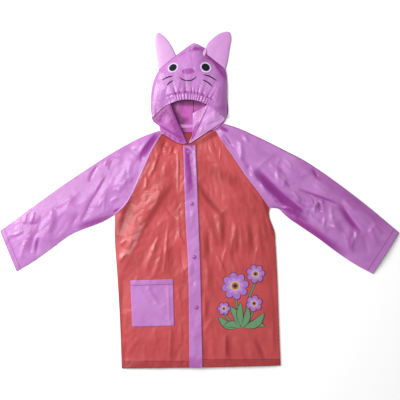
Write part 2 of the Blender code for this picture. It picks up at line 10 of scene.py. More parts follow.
import bpy
import numpy as np
from bpy.props import FloatProperty, FloatVectorProperty, PointerProperty
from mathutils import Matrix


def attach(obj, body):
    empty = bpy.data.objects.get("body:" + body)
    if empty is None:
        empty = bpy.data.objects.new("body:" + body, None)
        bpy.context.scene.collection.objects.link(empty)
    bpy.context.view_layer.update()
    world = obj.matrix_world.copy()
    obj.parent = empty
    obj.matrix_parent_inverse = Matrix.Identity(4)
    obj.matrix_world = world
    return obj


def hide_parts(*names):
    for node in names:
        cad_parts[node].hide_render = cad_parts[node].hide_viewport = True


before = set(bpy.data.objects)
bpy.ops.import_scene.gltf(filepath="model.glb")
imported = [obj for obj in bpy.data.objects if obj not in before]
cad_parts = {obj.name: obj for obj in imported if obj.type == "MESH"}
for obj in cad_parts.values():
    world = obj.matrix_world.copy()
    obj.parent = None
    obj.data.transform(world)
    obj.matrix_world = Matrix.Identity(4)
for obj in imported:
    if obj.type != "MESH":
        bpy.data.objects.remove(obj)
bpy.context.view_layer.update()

bl_info = {
    "name": "Vinyl Raincoat, Laid Flat",
    "version": (1, 0, 0),
    "blender": (4, 5, 0),
    "location": "View3D > Sidebar > Raincoat",
    "description": "Makes the creased sheets, welds, snaps, prints and stage of a child's vinyl raincoat",
    "category": "Object",
}

MM = 0.001

# ---- film and layers ---------------------------------------------------------------------------
LAYER = 1.5  # what one more layer adds in height
TWO_LAYERS = 2.7  # height of the coat along its closed edges
TABLE_LAYER = 0.6  # top of the film that lies on the table
PRINT_LIFT = 0.25  # printed and welded strips over the film they lie on
FOLD = TWO_LAYERS / 2  # radius of a folded edge
FILM = 0.5  # thickness of the shown film
EAR_FILM = 0.4
CLINGING = 0.35  # how much the film's tone deepens where it clings

# ---- outlines on the table: x, y ---------------------------------------------------------------
SIDE_LEFT = ((-214, -463), (-219, -328), (-227, -194), (-233, -110), (-233, -40))  # hem to underarm
SIDE_RIGHT = (
    (222, -455), (217, -328), (212, -194), (207.5, -118), (205.2, -88),
    (202, -78), (191, -48), (189.5, -38), (192, -22),
)
# Underarm to neck.
RAGLAN_LEFT = ((-233, -40), (-209, -20), (-173, 43), (-154, 85), (-130, 138), (-105, 181))
RAGLAN_RIGHT = ((192, -22), (163, 18), (121, 74), (91, 119), (57, 169), (45, 189))
# Cuff to underarm, along the lower edge of a sleeve.
UNDER_LEFT = (
    (-503, -197), (-451, -165), (-404, -131), (-350, -93), (-329, -84), (-260, -56.5), (-233, -40),
)
UNDER_RIGHT = (
    (476, -204), (424, -175.5), (376, -143.5), (328.6, -108), (276.5, -72.5),
    (242, -48.5), (228, -36), (218, -26), (192, -22),
)
SHOULDER_LEFT = ((-548.5, -85), (-339, 65), (-198, 153), (-156, 174), (-111, 190))  # cuff to neck
SHOULDER_RIGHT = (
    (548.5, -91), (454, -12), (363, 57), (320, 87), (286, 108.5),
    (233, 136), (164, 170.5), (97, 200), (68, 209),
)
BAND_LEFT = ((-28, -460), (-34, -135), (-37, -83), (-45, 150))  # hem to neck
BAND_RIGHT = ((8, -460), (0, -135), (-2, -83), (-11, 150))
BAND_TOP = 150
NECK_LEFT = ((-105, 181), (-84, 168), (-62, 155), (-45, 150))  # raglan to band, front layer
NECK_RIGHT = ((45, 189), (24, 187), (4, 174), (-11, 163))
NECK_UNDERLAP = 150.5  # y of the right front's top edge in the middle of the band
NECK_BACK = ((-105, 181), (-68, 185), (-21, 185.5), (23, 189), (45, 189))
HOOD_LEFT = ((-130, 227), (-134, 273), (-130, 313), (-113, 355))  # brim's corner to ear
EAR_BASE_LEFT = ((-113, 355), (-65, 397))
HOOD_TOP = ((-65, 397), (-43, 414), (-24, 427), (-19, 430), (-7, 428), (5, 422), (14, 416), (13, 404))
EAR_BASE_RIGHT = ((13, 404), (71, 358))
HOOD_RIGHT = ((71, 358), (74, 340), (76, 286), (74, 226))
BRIM = ((-129, 226), (-93, 258), (-62, 270), (-32, 274), (-2, 269), (24, 258), (70, 223))
HEM_LEFT = (-463, -460, -40, -35)  # y at the side and at the band: hem, underarm
HEM_RIGHT = (-455, -460, -22, -35)

# ---- hems and rows of the sheets ---------------------------------------------------------------
HEM = 19.0  # depth of the turned-up hem
HEM_RISE = 0.4  # what it adds in height
HEM_DEEP = 0.65  # share of its deeper colour
SIDE_OUT = 0.4  # the welded edge stands out from the front by this much
CUFF_HEM_LEFT = 13.0
CUFF_HEM_RIGHT = 18.0
FRONT_ROWS = 170  # hem to underarm
SEAM_ROWS = 96  # underarm to neck
FRONT_COLUMNS = 84  # side seam to band
BAND_COLUMNS = 14  # of a front, under or over the band
BACK_ROWS = 60  # hem to underarm
BACK_SEAM_ROWS = 40  # underarm to neck
BACK_COLUMNS = 80
BACK_RISE = 0.5  # height of its crumples
BACK_SHADE_Y = (100, 140)  # y between which painted shade deepens its colour, inside the neck
SLEEVE_ROWS = 150
SLEEVE_COLUMNS = 74
NECK_ROWS = 6  # rows of a sleeve over its short straight edge at the neck
BAND_SHEET_ROWS = 260
BAND_SHEET_COLUMNS = 16
BAND_DROPS = (1.2, 2.4)  # how far the band's edges go down, over the front and beside it

# ---- form of the coat's upper layer ------------------------------------------------------------
LOFT = 9.0  # rise of the upper layer over the closed edges
LOFT_REACH = 35.0  # distance within which it gains two thirds of that
OPEN_END_DROP = 0.35  # share of the loft lost at the hem and the cuffs
OPEN_END_REACH = 55.0
LAP_START = 22.0  # the left front starts to rise this far before the band
LAP_RUN = 18.0  # and is one layer higher after this
CLOSED_EDGES = (
    SIDE_LEFT,
    SIDE_RIGHT,
    UNDER_LEFT,
    UNDER_RIGHT,
    SHOULDER_LEFT,
    SHOULDER_RIGHT,
    NECK_LEFT,
    NECK_RIGHT,
)
OPEN_EDGES = (
    ((-214, -463), (8, -459), (222, -455)),
    ((-548, -85), (-499, -195)),
    ((549, -91), (476, -204)),
)
CREASE_FADE = 9.0  # creases die out over this distance from a closed edge, and so do the crown's crumples
SEAM_FADE = 7.0  # and crumples over this distance from a raglan seam
FINE_SIZE = 26  # size and height of the finer crumples
FINE_RISE = 0.4
BROAD_SIZE = 70  # and of the broader dents
BROAD_RISE = 1.1
CRUMPLED = (
    # x, y, reach, strength
    (-90, 140, 32, 1.1),  # below the neck
    (-215, 40, 45, 0.3),  # left armhole
    (-450, -90, 60, 0.7),  # left cuff
    (240, -20, 45, 0.9),  # right underarm
    (325, -15, 40, 0.9),  # right elbow
    (110, 150, 40, 0.5),
    (190, -100, 50, 0.4),
    (-130, -285, 62, -0.85),  # little on the pocket
    (-90, -410, 60, -0.4),
    (110, -290, 90, -0.5),  # or under the print
    (100, 100, 60, -0.4),
    (-340, 20, 70, -0.7),  # the left sleeve lies flatter
    (-270, 60, 50, -0.4),
)

# Creases are lines of: x1, y1, x2, y2, bow, reach on the left of the line, reach on its right, rise. Left
# and right are those of someone who walks the line from its first point. A rise below 0 is a trough.
CREASES_LEFT_FRONT = (
    (-155, -72, -68, 58, 6, 30, 20, 2.9),  # the long slanting fold from the chest to the side
    (-218, -205, -148, -62, -5, 22, 16, 2.7),
    (-218, -96, -184, 10, 2, 12, 14, -2.6),  # under the armhole
    (-130, -146, -111, -100, 2, 3.5, 5, 1.9),  # thin bright fold beside it
    (-151, -200, -116, -122, 3, 8, 9, 2.6),
    (-128, -214, -102, -128, -2, 6, 7, 1.8),
    (-100, -206, -86, -62, 0, 2.6, 4.5, 1.9),  # packing crease above the pocket
    (-84, -456, -79, -344, 0, 3, 4.5, 1.8),  # and below it
    (-127, 78, -116, 112, 2, 4, 5.5, 2.4),  # short bright folds by the raglan
    (-150, 28, -147, 62, -2, 3.5, 5, 2.2),
    (-137, 62, -126, 88, 1, 4, 4, 1.3),
    (-60, 18, -61, 146, -2, 4, 3.2, 1.5),  # beside the band
    (-52, -120, -58, -20, 2, 5, 4, 1.4),
    (-62, -52, -94, -10, 5, 5, 4.5, -1.8),
    (-42, -121, -61, -86, 2, 3.5, 4, 1.8),
    (-38, -205, -52, -132, 3, 5, 7, -1.8),
    (-229, -190, -200, -143, 3, 8, 6, 3.0),  # at the left side
    (-219, -126, -200, -108, 1, 4, 4, 1.6),
    (-214, -312, -210, -206, 0, 9, 12, -3.0),
    (-206, -372, -201, -300, 0, 6, 9, 1.8),
    (-205, -458, -202, -372, 0, 8, 8, -2.4),
    (-201, -432, -170, -380, 2, 10, 8, 2.0),  # below the pocket
    (-111, -428, -127, -352, 1, 6, 8, 1.8),
    (-150, -456, -152, -400, 1, 9, 7, 1.5),
    (-46, -316, -60, -234, 2, 7, 9, 1.8),  # between the pocket and the band
    (-50, -402, -54, -330, -2, 4, 5, 1.6),
    (-64, -440, -52, -398, 1, 6, 5, -1.5),
    (-157, 20, -108, 26, 0, 2.6, 2.6, 1.0),  # fine level creases over the chest
    (-156, 13, -112, 16, 0, 2.4, 2.4, 0.7),
    (-100, 126, -66, 129, 1, 3, 3, -1.2),
    (-112, 140, -80, 150, -4, 4.5, 5, 2.2),  # crumpling below the neck
    (-104, 122, -92, 158, 4, 4, 5, -2.0),
    (-86, 120, -78, 156, -3, 4, 4, 1.9),
    (-72, 124, -66, 150, 2, 3.5, 4, -1.4),
    (-120, 118, -100, 130, 2, 5, 4, 1.6),
    (-95, 60, -88, 108, 3, 9, 9, 1.8),
    (-118, -40, -96, 40, 8, 14, 16, 2.2),
)
CREASES_RIGHT_FRONT = (
    (62, -34, -3, 50, 6, 15, 28, -3.6),  # slanting trough from the band
    (50, -126, 10, -16, 5, 12, 10, 2.6),
    (58, -128, 54, -34, 0, 10, 6, 2.8),  # soft upright folds over the belly
    (88, -150, 104, -58, 3, 7, 7, 2.2),
    (131, -128, 128, -60, -3, 11, 10, 2.2),
    (152, -140, 140, -40, 3, 9, 11, -1.4),
    (58, -202, 76, -128, 3, 4, 4, 1.6),
    (46, -154, 73, -202, 0, 3.5, 3, 1.2),
    (148, -196, 162, -120, 2, 3, 3, 1.4),
    (118, -150, 112, -66, 0, 6, 6, 1.6),
    (172, -160, 158, -64, 2, 8, 8, 2.2),
    (186, -110, 174, -62, 2, 4, 5, 1.8),
    (190, -80, 178, -44, 2, 4, 5, -1.6),
    (72, -208, 50, -152, 2, 4, 4, 1.6),  # beside the print
    (30, -150, 24, -74, 2, 8, 7, -2.2),
    (22, -250, 18, -160, -2, 7, 6, 2.0),
    (16, -330, 14, -258, 1, 6, 5, 1.9),
    (12, -366, 38, -322, 2, 6, 7, 1.8),
    (69, -448, 72, -368, 0, 11, 4.5, 2.8),  # at the hem
    (186, -442, 154, -374, 2, 8, 8, -3.0),
    (120, -446, 100, -376, -2, 12, 10, 1.6),
    (150, -448, 132, -392, 2, 8, 8, 1.5),
    (205, -300, 199, -190, 1, 7, 8, -2.0),
    (200, -430, 203, -330, 0, 8, 8, 1.8),
    (40, -444, 30, -386, 0, 6, 6, 1.5),
    (56, 106, 57, 150, 0, 2.2, 2.2, 0.9),  # packing creases on the chest
    (0, 125, 24, 126, 0, 2, 2, 0.8),
    (-4, 117, 24, 117, 0, 2, 2, -0.7),
    (-4, 101, 60, 98, -1, 3, 3, -1.0),
    (62, 8, 122, 6, -3, 16, 12, 1.8),  # soft light patch in the middle
    (96, 20, 76, 66, 5, 14, 14, 1.0),
    (128, -10, 98, 60, 3, 14, 12, -0.8),
    (166, -6, 140, 34, 1, 5, 6, -1.6),
    (150, -28, 100, -2, 4, 9, 8, 1.8),
)
CREASES_LEFT_SLEEVE = (
    (-327, -62, -251, 72, 3, 6, 12, -2.3),  # long trough across the sleeve
    (-300, -44, -236, 60, 2, 12, 12, 1.2),
    (-304, 50, -276, 100, 2, 5, 4.5, -2.4),
    (-168, 124, -124, 186, 1, 20, 9, 5.2),  # shoulder fold beside the raglan
    (-160, 104, -158, 124, 0, 4, 4, -2.0),
    (-184, 138, -164, 158, -2, 5, 5, 2.2),
    (-262, 92, -246, 118, 2, 4, 4, 1.6),
    (-248, 84, -238, 110, 1, 3.5, 3.5, -1.4),
    (-332, -66, -243, -24, -2, 13, 8, 2.7),  # along the lower edge
    (-246, -8, -222, 6, 2, 4, 4, 2.0),
    (-262, -30, -256, 10, 3, 6, 6, 2.0),
    (-468, -157, -421, -28, 3, 9, 9, -2.8),  # near the cuff
    (-449, -154, -438, -106, 1, 6, 5, -2.8),
    (-458, -150, -446, -98, 2, 4, 5, 2.0),
    (-481, -66, -474, -34, 1, 4, 5, 2.6),
    (-462, -66, -454, -34, 1, 4, 5, 2.6),
    (-410, -60, -402, -26, 1, 5, 5, 2.2),
    (-424, -110, -398, -30, -3, 10, 9, 2.0),
    (-492, -166, -478, -112, 2, 4, 6, 2.2),
    (-520, -98, -482, -84, -3, 4, 4, 1.8),
    (-486, -132, -458, -150, 0, 4, 4, 1.6),
    (-372, -40, -344, 8, 4, 9, 8, 1.3),
    (-396, -20, -330, 22, -3, 8, 8, 1.4),
    (-352, -76, -330, -36, 1, 6, 6, -1.8),
    (-222, 20, -196, 96, 4, 8, 9, 1.6),
    (-212, 34, -190, 62, 3, 4, 4, 1.2),
    (-226, 54, -200, 50, 3, 4, 4, 1.1),
    (-238, 28, -214, 22, 2, 3.5, 3.5, 1.1),
    (-196, 70, -186, 108, 2, 4, 4, 1.1),
    (-204, 100, -172, 106, 3, 5, 5, 1.0),
    (-290, 10, -262, 62, 2, 5, 5, 1.5),
    (-276, -22, -262, 4, 2, 4, 4, 1.8),
)
CREASES_RIGHT_SLEEVE = (
    (274, -40, 161, 60, 8, 12, 9, 5.5),  # deep fold that runs up from the underarm
    (276, -14, 158, 80, 6, 12, 8, -6.5),
    (288, -6, 166, 86, 4, 6, 8, 3.4),
    (155, 83, 204, 124, 2, 4, 4, 2.2),  # soft folds above it
    (207, 98, 222, 115, -2, 4, 4, 2.4),
    (253, 86, 232, 112, -4, 4, 4, 2.6),
    (216, 40, 213, 92, 0, 6, 6, 2.0),
    (340, -80, 346, -47, 2, 4, 4, 2.6),
    (418, -130, 424, -100, 2, 4, 4, 2.8),
    (424, -122, 438, -82, 3, 5, 5, 2.8),
    (465, -93, 485, -64, 2, 5, 5, 2.8),
    (485, -58, 375, 34, 0, 9, 9, 2.4),
    (270, -58, 254, -28, 0, 3, 3, 3.0),
    (446, -92, 382, -8, 2, 13, 5, -5),  # fold down the middle of the forearm
    (462, -66, 388, 2, 0, 7, 9, 3),
    (388, -12, 272, 28, 4, 9, 5, -4),
    (390, -2, 280, 38, 4, 6, 8, 2.4),
    (340, -8, 306, 14, 3, 5, 5, 3.5),
    (300, -44, 246, -20, -2, 8, 7, 4.6),  # under the elbow
    (262, -42, 236, -30, 2, 4, 5, -3.2),
    (268, -26, 198, -22, -3, 4, 4, 3.5),
    (244, -16, 200, -18, 2, 3, 3, -2.9),
    (226, -6, 202, 2, 1, 4, 4, 2.9),
    (314, -38, 330, -2, 5, 4, 4, 4.6),  # crumple behind the elbow
    (330, -36, 322, 0, -3, 4, 4, -4.3),
    (342, -30, 334, 4, 3, 4, 5, 4.1),
    (318, -14, 292, -12, 2, 3.5, 3.5, 3.2),
    (276, -8, 262, 8, 0, 4, 4, 3.5),
    (376, -122, 262, -42, 6, 10, 12, 6.7),  # facet along the lower edge
    (352, -88, 318, -48, 3, 7, 7, 2.6),
    (383, -92, 362, -40, 4, 8, 8, 3.5),
    (420, -140, 408, -84, 3, 8, 8, 3.2),
    (404, -86, 380, -60, 1, 7, 7, -2.6),
    (326, 56, 312, 86, 1, 5, 5, -4.1),  # by the upper edge
    (286, 60, 226, 96, 4, 8, 9, 3.8),
    (256, 40, 208, 74, 6, 6, 7, 3.2),
    (222, 80, 192, 100, 3, 6, 6, 2.6),
    (116, 108, 112, 162, 0, 6, 6, 4.6),  # beside the raglan
    (132, 156, 122, 180, 0, 5, 5, 3.8),
    (90, 142, 62, 176, 2, 5, 5, -4.3),
    (140, 66, 128, 96, 2, 5, 6, -2.6),
    (160, 52, 144, 92, 3, 6, 5, 3.5),
    (190, 14, 170, 44, 3, 5, 5, 2.9),
    (488, -128, 470, -74, 2, 9, 9, 3.2),  # near the cuff
    (462, -150, 446, -96, -3, 8, 8, -2.6),
    (500, -96, 478, -66, 2, 6, 6, 2.6),
    (356, 14, 316, 46, 3, 9, 9, 2.9),
    (278, -6, 256, 24, 1, 4.5, 5, 2.8),  # bright folds between the deep fold and the elbow
    (252, 33, 230, 51, -2, 5, 5, -2.2),
    (304, 76, 277, 68, 2, 5, 5, 2.2),
    (236, 62, 224, 30, 3, 5, 6, 2.2),
    (364, -61, 362, -13, 2, 5, 5, 2.4),  # fine folds down the forearm
    (394, -87, 343, -74, -4, 5, 5, 2.4),
    (410, -137, 393, -88, -3, 6, 5, 2.2),
    (428, -124, 422, -71, 3, 5, 4, -2.2),
    (300, -28, 284, -34, 2, 3.5, 3.5, 2.6),
    (328, -62, 300, -34, 3, 5, 5, 2.4),
    (424, -26, 396, 2, 2, 6, 6, 2.3),
)
CREASES_POCKET = (
    (-122, -284, -160, -238, 1, 6, 5, -2.0),
    (-98, -288, -134, -238, 2, 8, 6, -2.4),
    (-110, -286, -146, -240, 1, 4, 4, 1.2),
    (-82, -344, -88, -222, 0, 3, 4, 1.6),  # the packing crease carries on
)
CREASES_BAND = (
    (-21, 40, -30, 146, 0, 5, 6, -1.6),
    (-8, 60, -14, 146, 0, 4, 4, 1.2),
    (-22, -80, -16, -24, 1, 5, 5, 0.8),
    (-10, -424, -18, -360, 1, 6, 5, 0.7),
    (-2, -376, -24, -368, 0, 3, 3, 0.8),
    (-4, -420, -24, -426, 1, 4, 3, 0.8),
    (-14, -250, -20, -190, 1, 6, 5, -0.7),
)

CREASES_CROWN = (
    (-140, 214, -70, 280, 0, 26, 30, -9.0),  # the brim settles on the left lapel
    (-68, 394, -34, 409, -2, 3.5, 7, -2.6),  # seam of the face panel below the peak
    (-34, 409, 12, 414, 2, 3.5, 7, -2.6),
    (-22, 412, -12, 426, 0, 5, 5, 1.6),
    (18, 397, 46, 371, 3, 5, 10, -4.2),  # fold that parts the side panel, under the right ear
    (44, 373, 70, 332, 3, 5, 10, -4.2),
    (12, 400, 40, 374, 2, 9, 5, 2.0),
    (60, 250, 66, 332, -3, 12, 8, 2.4),
    (-112, 250, -104, 330, 6, 14, 14, 0.6),  # left cheek
    (-92, 268, -88, 312, 3, 6, 6, -1.4),
    (38, 262, 50, 312, -4, 8, 8, 2.2),  # right cheek
    (24, 284, 44, 330, -3, 6, 7, -1.6),
    (-60, 300, -52, 330, 2, 5, 5, 1.2),
    (4, 296, 10, 326, -2, 5, 5, 1.2),
    (-30, 376, 10, 388, -3, 12, 10, 1.2),
    (-74, 386, -52, 380, 2, 6, 5, -1.0),
    (-108, 226, -66, 262, 6, 6, 6, 1.8),
)
CREASES_LAPEL_LEFT = (
    (-92, 196, -72, 226, 3, 10, 10, 1.0),
    (-118, 218, -90, 250, 3, 10, 10, 1.0),
    (-78, 184, -62, 200, 1, 6, 6, 0.7),
)
CREASES_LAPEL_RIGHT = (
    (20, 196, 26, 236, 2, 8, 9, 1.8),
    (44, 214, 40, 246, 2, 7, 7, 1.6),
    (8, 184, 8, 206, 1, 5, 5, 1.2),
)

# Strips where the film's colour is deeper, as creases with a share of the deeper colour in place of the
# rise. Most are painted shade: in troughs, folds, clefts and crevices, under the brim, the lapels and the
# collar, and on faces and edges turned away from the light. Along the left side seam and at the foot of the
# band the film lies double as well, and the left lapel's weld line is dark of itself.
DEEP_LEFT_FRONT = (
    (-236, -116, -176, 50, -6, 15, 14, 1.1),  # below the armhole
    (-216, -196, -64, 66, 9, 10, 13, 0.9),  # along the long slanting fold
    (-76, -92, -50, 8, 0, 9, 8, 0.5),
    (-84, -214, -91, -100, 0, 1, 15, 0.6),  # beside the packing crease
    (-78, -458, -76, -350, 0, 1, 10, 0.45),
    (-217, -462, -227, -196, 0, 10, 9, 0.9),  # along the side seam
    (-196, -232, -150, -130, 0, 8, 9, 0.4),
    (-150, -212, -112, -150, 0, 6, 6, 0.35),
    (-106, 132, -98, 182, 4, 10, 13, 0.8),  # crumpled below the neck
    (-122, 80, -110, 132, 0, 4, 5, 0.5),
    (-62, 40, -56, 120, 0, 2, 5, 0.6),
    (-46, -250, -40, -180, 0, 5, 7, 0.5),
    (-56, -430, -44, -330, 0, 5, 6, 0.35),
    (-180, -452, -150, -380, 0, 8, 9, 0.35),
    (-128, -440, -118, -380, 0, 5, 5, 0.3),
    (-216, -40, -142, 116, 4, 4, 7, 0.7),  # in the shade of the raglan seam
    (-158, 76, -104, 186, 0, 3, 4, 0.6),
)
DEEP_RIGHT_FRONT = (
    (66, -44, -2, 46, 6, 9, 8, 0.9),  # in the slanting trough
    (130, 30, 2, 98, 0, 14, 16, 0.45),
    (20, -172, 18, -84, 0, 8, 9, 0.8),  # upright folds
    (60, -134, 62, -22, 0, 0.8, 9, 0.75),
    (100, -150, 104, -80, 0, 4, 7, 0.65),
    (142, -152, 136, -66, 0, 8, 9, 0.6),
    (176, -150, 164, -80, 0, 4, 5, 0.35),
    (46, -130, 40, -60, 0, 6, 9, 0.6),
    (88, -180, 84, -96, 0, 5, 7, 0.7),
    (192, -50, 172, 6, 0, 5, 5, 1.0),  # at the armhole
    (206, -110, 190, -44, 0, 4, 4, 0.9),
    (-26, 144, 72, 198, 0, 7, 8, 1.1),  # below the collar
    (80, 108, 62, 150, 0, 4, 6, 0.35),
    (30, -240, 34, -176, 0, 6, 6, 0.4),
    (18, -322, 24, -268, 0, 5, 6, 0.6),
    (76, -446, 70, -368, 0, 1, 13, 0.8),  # at the hem
    (176, -440, 150, -382, 0, 7, 8, 0.5),
    (16, -452, 16, -380, 0, 6, 5, 0.4),
    (206, -420, 202, -220, 0, 5, 5, 0.35),
    (196, -28, 104, 98, 0, 4, 4, 0.6),  # beside the raglan seam
    (118, 78, 60, 166, 0, 3, 3, 0.45),
)
DEEP_LEFT_SLEEVE = (
    (-600, -136, -170, 150, 0, 34, 28, 0.42),  # along the upper edge
    (-172, 106, -112, 190, 0, 8, 11, 1.3),  # shoulder fold beside the raglan
    (-338, -78, -232, -42, 0, 7, 9, 0.85),  # lower edge
    (-328, -64, -251, 72, 3, 4, 5, 0.6),  # in the long trough
    (-304, 50, -276, 106, 0, 3, 3, 0.6),
    (-474, -146, -444, -40, 4, 9, 9, 0.5),  # near the cuff
    (-452, -140, -444, -96, 0, 4, 4, 0.6),
    (-410, -96, -392, -40, 0, 5, 6, 0.35),
    (-192, 44, -182, 62, 0, 4, 4, 0.5),
    (-240, -34, -218, -24, 0, 4, 4, 1.0),  # notch at the underarm
    (-262, 30, -238, 84, 0, 4, 4, 0.3),
    (-262, -4, -252, 20, 0, 3, 3, 0.4),
)
DEEP_RIGHT_SLEEVE = (
    (284, -38, 150, 86, 8, 14, 12, 1.6),  # inside the deep fold
    (290, -42, 238, 2, 0, 5, 5, 0.6),
    (300, -58, 240, -26, 0, 6, 6, 0.7),
    (400, -158, 224, -30, 2, 12, 17, 1.2),  # lower edge
    (530, -84, 262, 118, 0, 14, 12, 0.45),  # upper edge
    (384, -12, 270, 30, 0, 4, 3, 0.9),  # fold down the forearm
    (446, -92, 384, -6, 3, 13, 3, 0.9),
    (318, -22, 306, 10, 0, 3, 3, 0.7),  # crumple behind the elbow
    (334, -40, 326, -6, 0, 3, 3, 0.7),
    (292, -20, 262, -4, 0, 3, 3, 0.6),
    (250, -30, 196, -18, 0, 2.5, 2.5, 0.8),
    (214, -10, 196, 10, 0, 3, 4, 0.5),
    (332, 52, 306, 88, 0, 5, 5, 0.6),
    (96, 136, 60, 186, 0, 3, 3, 1.0),  # beside the raglan
    (80, 187, 42, 204, 0, 5, 6, 1.5),
    (142, 70, 104, 132, 0, 5, 7, 0.5),
    (240, 62, 208, 92, 0, 5, 5, 0.4),
    (150, 62, 132, 96, 0, 5, 6, 0.4),
    (424, -150, 404, -100, 0, 6, 6, 0.35),
    (560, -176, 320, 10, 0, 56, 56, 0.22),
    (250, 34, 226, 54, 0, 4, 5, 0.5),
)
DEEP_BAND = (
    (-24, -4, -34, 236, 0, 13, 10, 1.35),
    (-16, -476, -16, -430, 0, 24, 24, 0.5),
    (-18, -214, -20, -170, 0, 6, 6, 0.25),
)
DEEP_CROWN = (
    (76, 326, 16, 404, -4, 7, 9, 1.1),  # side panel below the right ear
    (60, 196, 60, 366, 0, 16, 22, 0.3),
    (30, 250, 74, 250, 0, 8, 8, 0.3),
    (-30, 413, 16, 414, 0, 6, 6, 0.9),  # under the peak
    (-58, 394, -34, 408, 0, 2, 3, 0.5),
    (30, 384, 8, 392, 0, 8, 6, 0.5),
    (-110, 246, -96, 262, 0, 5, 5, 0.3),
    (-120, 226, -114, 354, 3, 10, 10, 0.42),
)
DEEP_HOOD_BACK = (
    (-110, 268, 60, 264, 0, 30, 9, 1.0),  # shaded by the brim
    (-40, 176, -88, 274, 0, 6, 12, 1.1),  # along the lapel's fold
    (-58, 222, -26, 216, 0, 9, 9, 0.8),
    (-4, 196, -16, 250, 0, 8, 8, 0.4),
)
DEEP_LAPEL_LEFT = (
    (-150, 204, -66, 286, 0, 17, 19, 1.4),  # at the free corner
    (-136, 224, -96, 214, 0, 7, 5, 0.6),
    (-44, 162, -112, 204, 0, 1.2, 6, 0.75),  # above the collar strip
    (-44, 164, -114, 206, 0, 1.4, 1.4, 0.9),  # and its weld line
    (-52, 158, -54, 166, 0, 3, 3, 0.7),  # small gathers in the strip
    (-66, 160, -70, 172, 0, 2.5, 2.5, 0.8),
    (-80, 168, -84, 182, 0, 2.5, 2.5, 0.9),
    (-93, 176, -97, 188, 0, 2.5, 3, 0.8),
    (-103, 184, -106, 192, 0, 2, 2, 0.7),
    (-42, 150, -92, 286, 0, 15, 12, 1.15),
)
DEEP_LAPEL_RIGHT = (
    (-30, 152, 26, 266, -1, 1, 2.4, 1.3),  # dark line where it turns over its ridge
    (-26, 166, -2, 214, 0, 5, 7, 0.9),
    (-30, 168, 32, 302, 0, 14, 9, 0.85),
)

# ---- hood --------------------------------------------------------------------------------------
CROWN_LOFT = 14.0  # rise of the crown near its top
BRIM_LOFT = 4.5  # what is added towards the brim
BRIM_LOFT_Y = (235, 370)  # y between which that extra fades
CROWN_REACH = 15.0  # distance within which it gains two thirds of its rise
CROWN_CORNER = 3.6  # extra height of the crown's edge at the brim's corners, over the tucked lapels
CROWN_CORNER_Y = (232, 272)  # y between which it fades
# Columns of the crown over each stretch of its outline, and over the brim: from share, to share, columns.
CROWN_COLUMNS = (
    (HOOD_LEFT, 56),
    (EAR_BASE_LEFT, 32),
    (HOOD_TOP, 56),
    (EAR_BASE_RIGHT, 40),
    (HOOD_RIGHT, 80),
)
BRIM_COLUMNS = ((0, 0.14, 24), (0.14, 0.84, 216), (0.84, 1, 24))
CROWN_ROWS = 110
GATHERED = (0.225, 0.83)  # share of the brim that the elastic draws in
GATHER_ENDS = 6  # the gathers die out over a sixth of that stretch at each end
RUFFLES = 20  # waves of the ruffle between the elastic and the edge
RUFFLE_RISE = 0.62
PUFFS = 12  # rounder puffs above the elastic
PUFF_RISE = 3.0
PUFF_RUN = 15.0  # how far they run up
ELASTIC = 20.0  # distance of the elastic from the brim's edge
ELASTIC_HALF = 2.8  # half its width
ELASTIC_DEPTH = 1.7
BRIM_DROP = 1.6  # how far the brim's edge goes down
# Hood sides, each folded back on itself as a lapel. One row for each section, from the foot of the neck
# opening up: where the lower layer starts, the fold, the ridge and the free edge, with the film's heights.
HOOD_SIDE_LEFT = (
    # start x, y, z; fold x, y, low z, high z; ridge x, y, z; free x, y, z
    (-43, 152.5, 2.1, -35.0, 155.5, 2.2, 4.2, -37.0, 155.0, 4.2, -40.0, 154.0, 3.9),
    (-62, 157.0, 2.1, -44.0, 179.0, 2.6, 8.5, -48.5, 177.5, 8.4, -63.0, 169.0, 4.2),
    (-84, 170.5, 2.1, -55.0, 205.0, 2.8, 11.0, -61.0, 203.0, 11.0, -88.0, 188.0, 4.2),
    (-103, 183.5, 2.1, -66.0, 231.0, 2.8, 12.0, -72.5, 228.0, 12.0, -113.0, 204.0, 4.2),
    (-109, 196.0, 2.1, -74.5, 253.0, 2.8, 12.0, -81.0, 249.0, 12.0, -126.5, 214.5, 3.9),
    (-121, 233.0, 2.1, -81.0, 273.0, 2.8, 11.0, -87.0, 268.0, 11.0, -132.0, 226.5, 3.7),
)
HOOD_SIDE_RIGHT = (
    (-25, 157.5, 2.1, -30.0, 156.0, 2.2, 4.0, -28.0, 156.5, 5.0, -26.0, 155.0, 5.3),
    (-9, 167.0, 2.1, -20.5, 178.0, 2.2, 4.4, -17.5, 179.0, 8.5, 0.0, 172.0, 5.5),
    (7, 179.5, 2.1, -20.0, 193.0, 2.3, 4.6, -8.0, 199.0, 12.5, 24.0, 188.0, 5.8),
    (26, 190.5, 2.1, -19.5, 208.0, 2.3, 4.8, 3.0, 219.0, 14.5, 48.0, 203.5, 6.0),
    (52, 199.5, 2.1, -19.0, 224.0, 2.3, 4.8, 14.0, 240.0, 15.5, 66.0, 216.0, 5.6),
    (70, 226.0, 2.1, -19.0, 238.0, 2.3, 4.8, 25.0, 262.0, 15.5, 71.5, 229.5, 4.9),
)
HOOD_SIDE_ROWS = 90
HOOD_SIDE_STEPS = (18, 12, 12, 34)  # lower layer, fold, fold to ridge, ridge to free edge
# Neck to brim's corner.
HOOD_BACK_LEFT = ((-103.5, 183), (-110, 193), (-110.5, 203), (-124, 213), (-130, 227))
HOOD_BACK_RIGHT = ((45.5, 190.5), (66.5, 211.5), (70, 219), (74, 226))
HOOD_SEAM = ((-19, 185.5), (-19, 430))
HOOD_OVERLAP = 2.5  # the left half is welded over the right one by this much
HOOD_LIP = 0.3  # and lies this much higher there
HOOD_LIP_RUN = 14  # distance over which that goes down again
HOOD_BACK_ROWS = 110
HOOD_BACK_COLUMNS = 44

